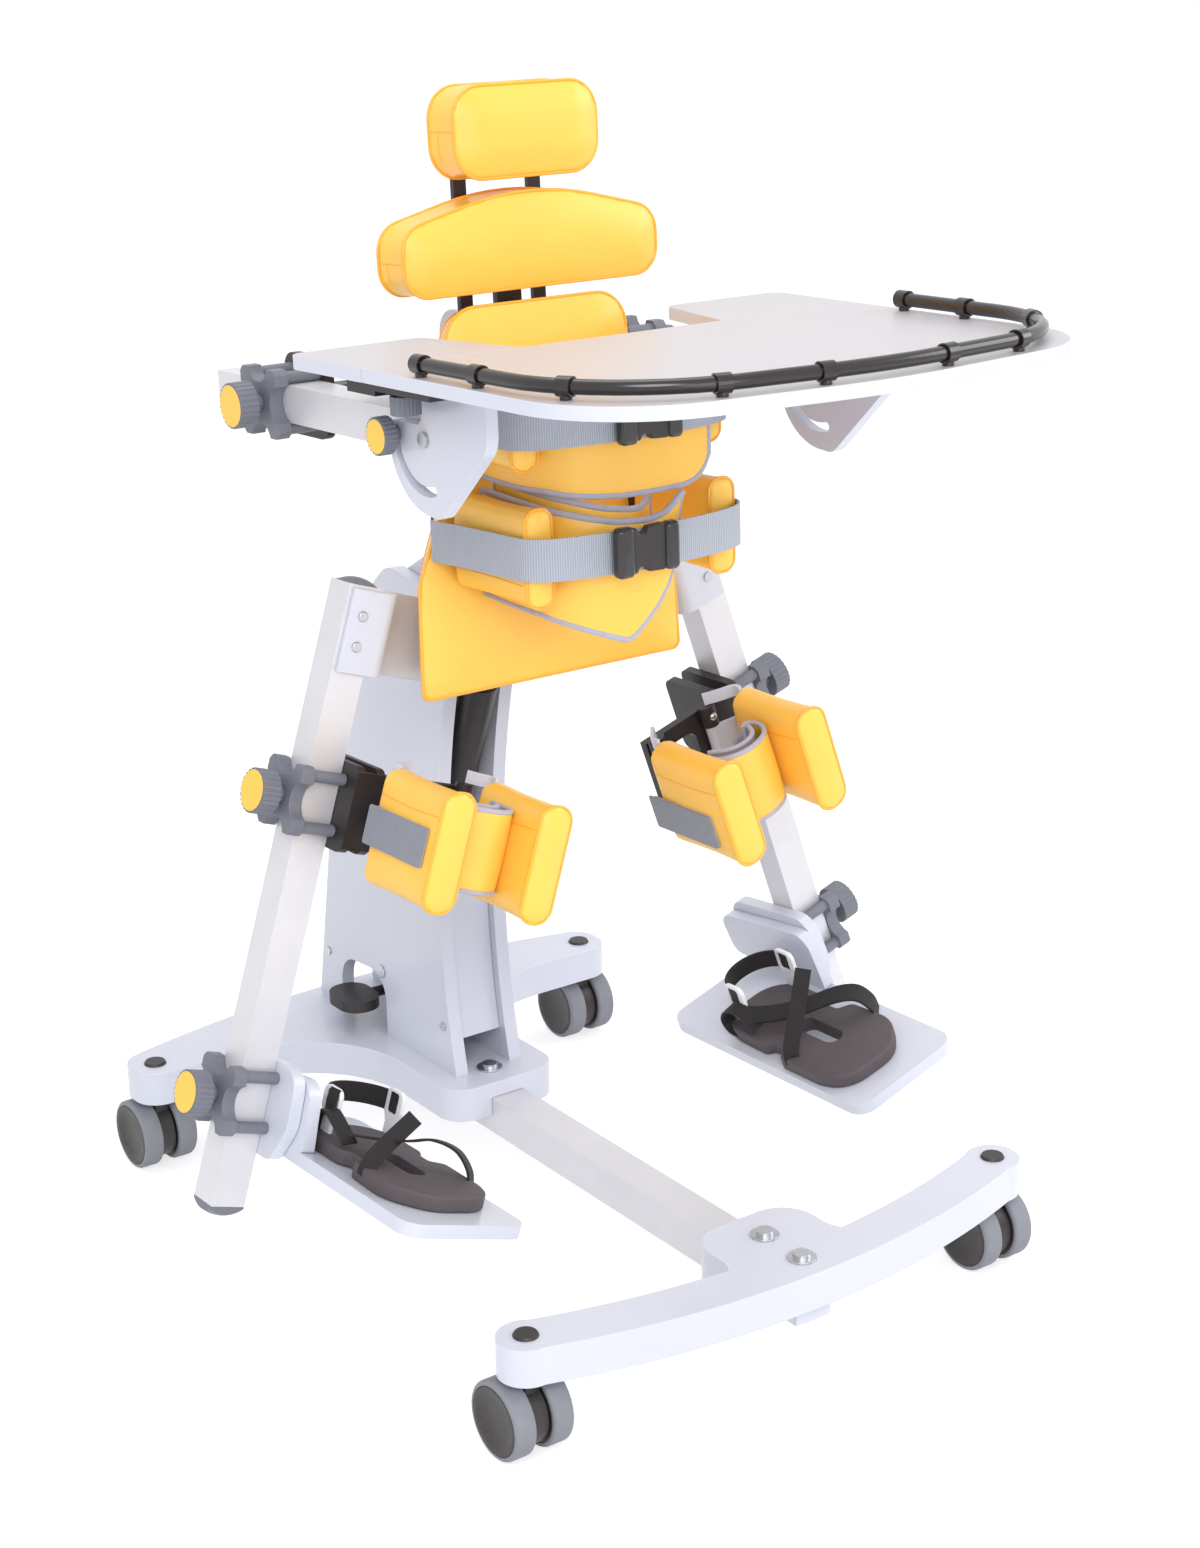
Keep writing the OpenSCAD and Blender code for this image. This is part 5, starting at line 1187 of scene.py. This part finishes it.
def cut(piece, outline, thickness, at):
    """Take an opening out of a slab, with a second slab as the tool."""
    tool = slab("cutter", [p + Vector(at) for p in outline], thickness + 20)
    tool.data.transform(shift(0, 0, -10))
    apply_modifier(piece, "BOOLEAN", object=tool, operation="DIFFERENCE", solver="EXACT")
    bpy.data.objects.remove(tool)


def sandal_base(side, plane, body):
    sole = slab("sandal_sole_" + side, SOLE_OUTLINE, SOLE_T, 3.0, 4)
    cut(sole, rounded_box(22, 62, 10.5, 8), SOLE_T, (0, -135))
    dress(settle(sole, plane @ shift(*SOLE_SHIFT[side], 0)), body, SOLE)
    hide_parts("sandal_" + side)
    for x, where in ((-POST_X, "inner"), (POST_X, "outer")):
        post = slab(f"sandal_post_{where}_{side}", POST_OUTLINE, POST_T, 1.4, 3)
        cut(post, rounded_box(16, 21, 3, 3), POST_T, (0, 27.5))
        upright = shift(x - POST_T / 2, POST_Y, POST_Z) @ turned(90, "Z") @ turned(90, "X")
        dress(settle(post, plane @ upright), body, WHITE_PLASTIC)


print("sole", SOLE_T, "mm thick")

# %% [markdown]
# A strap is a ribbon along a run of points, with one direction for its width. The heel band is half
# an ellipse between the posts, and the others stand up or loop over as they were left.

# %% Sandals
STRAP_T = 2.4
BAND_Z, BAND_W = 47, 20
BAND_X, BAND_DEPTH = 37, 33
BAND_FRONT_Y, HEEL_Y = -64, -50
HEEL_ARC = [math.radians(a) for a in range(0, 181, 12)]
HEEL = [(BAND_X * math.cos(a), HEEL_Y + BAND_DEPTH * math.sin(a), BAND_Z) for a in HEEL_ARC]
HEEL_RUN = [(BAND_X, BAND_FRONT_Y, BAND_Z), *HEEL, (-BAND_X, BAND_FRONT_Y, BAND_Z)]
HEEL_BAND = ("heel_band", HEEL_RUN, BAND_W, (0, 0, 1))
# Name, points of the run, width, and the direction of the width
STRAPS = {
    "left": (
        ("standing_strap", [(-55, -152, 6), (-54, -151, 18), (-46, -147, 29), (-18, -136, 55),
                            (8, -125, 80)], 17, (0.64, -0.66, -0.38)),
        ("forefoot_strap", [(53, -166, 6), (51, -165, 22), (40, -159, 40), (23, -146, 44), (4, -121, 35),
                            (-14, -102, 31), (-34, -78, 31), (-45, -66, 36)], 22, (0.74, 0.62, 0.25)),
        ("ankle_loop", [(-44, -86, 22), (-45, -75, 36), (-46, -60, 41), (-47, -46, 36), (-47, -38, 22),
                        (-46, -44, 10), (-45, -56, 8)], 16, (1, 0, 0.15)),
    ),
    "right": (
        ("standing_strap", [(57, -158, 6), (54, -157, 17), (44, -151, 26), (20, -139, 40),
                            (-9, -125, 56)], 17, (0.47, 0.46, 0.42)),
        ("forefoot_strap", [(-50, -178, 6), (-47, -177, 22), (-32, -171, 40), (-10, -160, 46),
                            (6, -144, 39), (24, -122, 33), (42, -106, 31)], 22, (0.74, -0.64, 0.2)),
        ("ankle_loop", [(44, -106, 22), (45, -86, 33), (45, -66, 41), (45, -50, 36), (45, -41, 22),
                        (45, -46, 9), (45, -58, 6)], 16, (1, 0, -0.15)),
        ("ankle_riser", [(45, -64, 41), (43, -60, 50), (38, -56, 60)], 13, (0.2, 1, 0)),
    ),
}


def ribbon(name, points, width, across):
    path = Path(points, 8)
    half = Vector(across).normalized() * width / 2

    def surface(u, v):
        return path.at(u) + half * (2 * v - 1)

    return draped(name, surface, max(24, int(path.length / 4)), 4, STRAP_T, run=path.length)


for side in SIDES:
    body = "foot_plate_" + side
    plane = FOOT[side] @ shift(SANDAL_X, 0, SANDAL_Z)
    sandal_base(side, plane, body)
    for name, points, width, across in (HEEL_BAND, *STRAPS[side]):
        strip = ribbon(f"sandal_{name}_{side}", points, width, across)
        dress(settle(strip, plane), body, BLACK_WEBBING)
print("sandals placed")
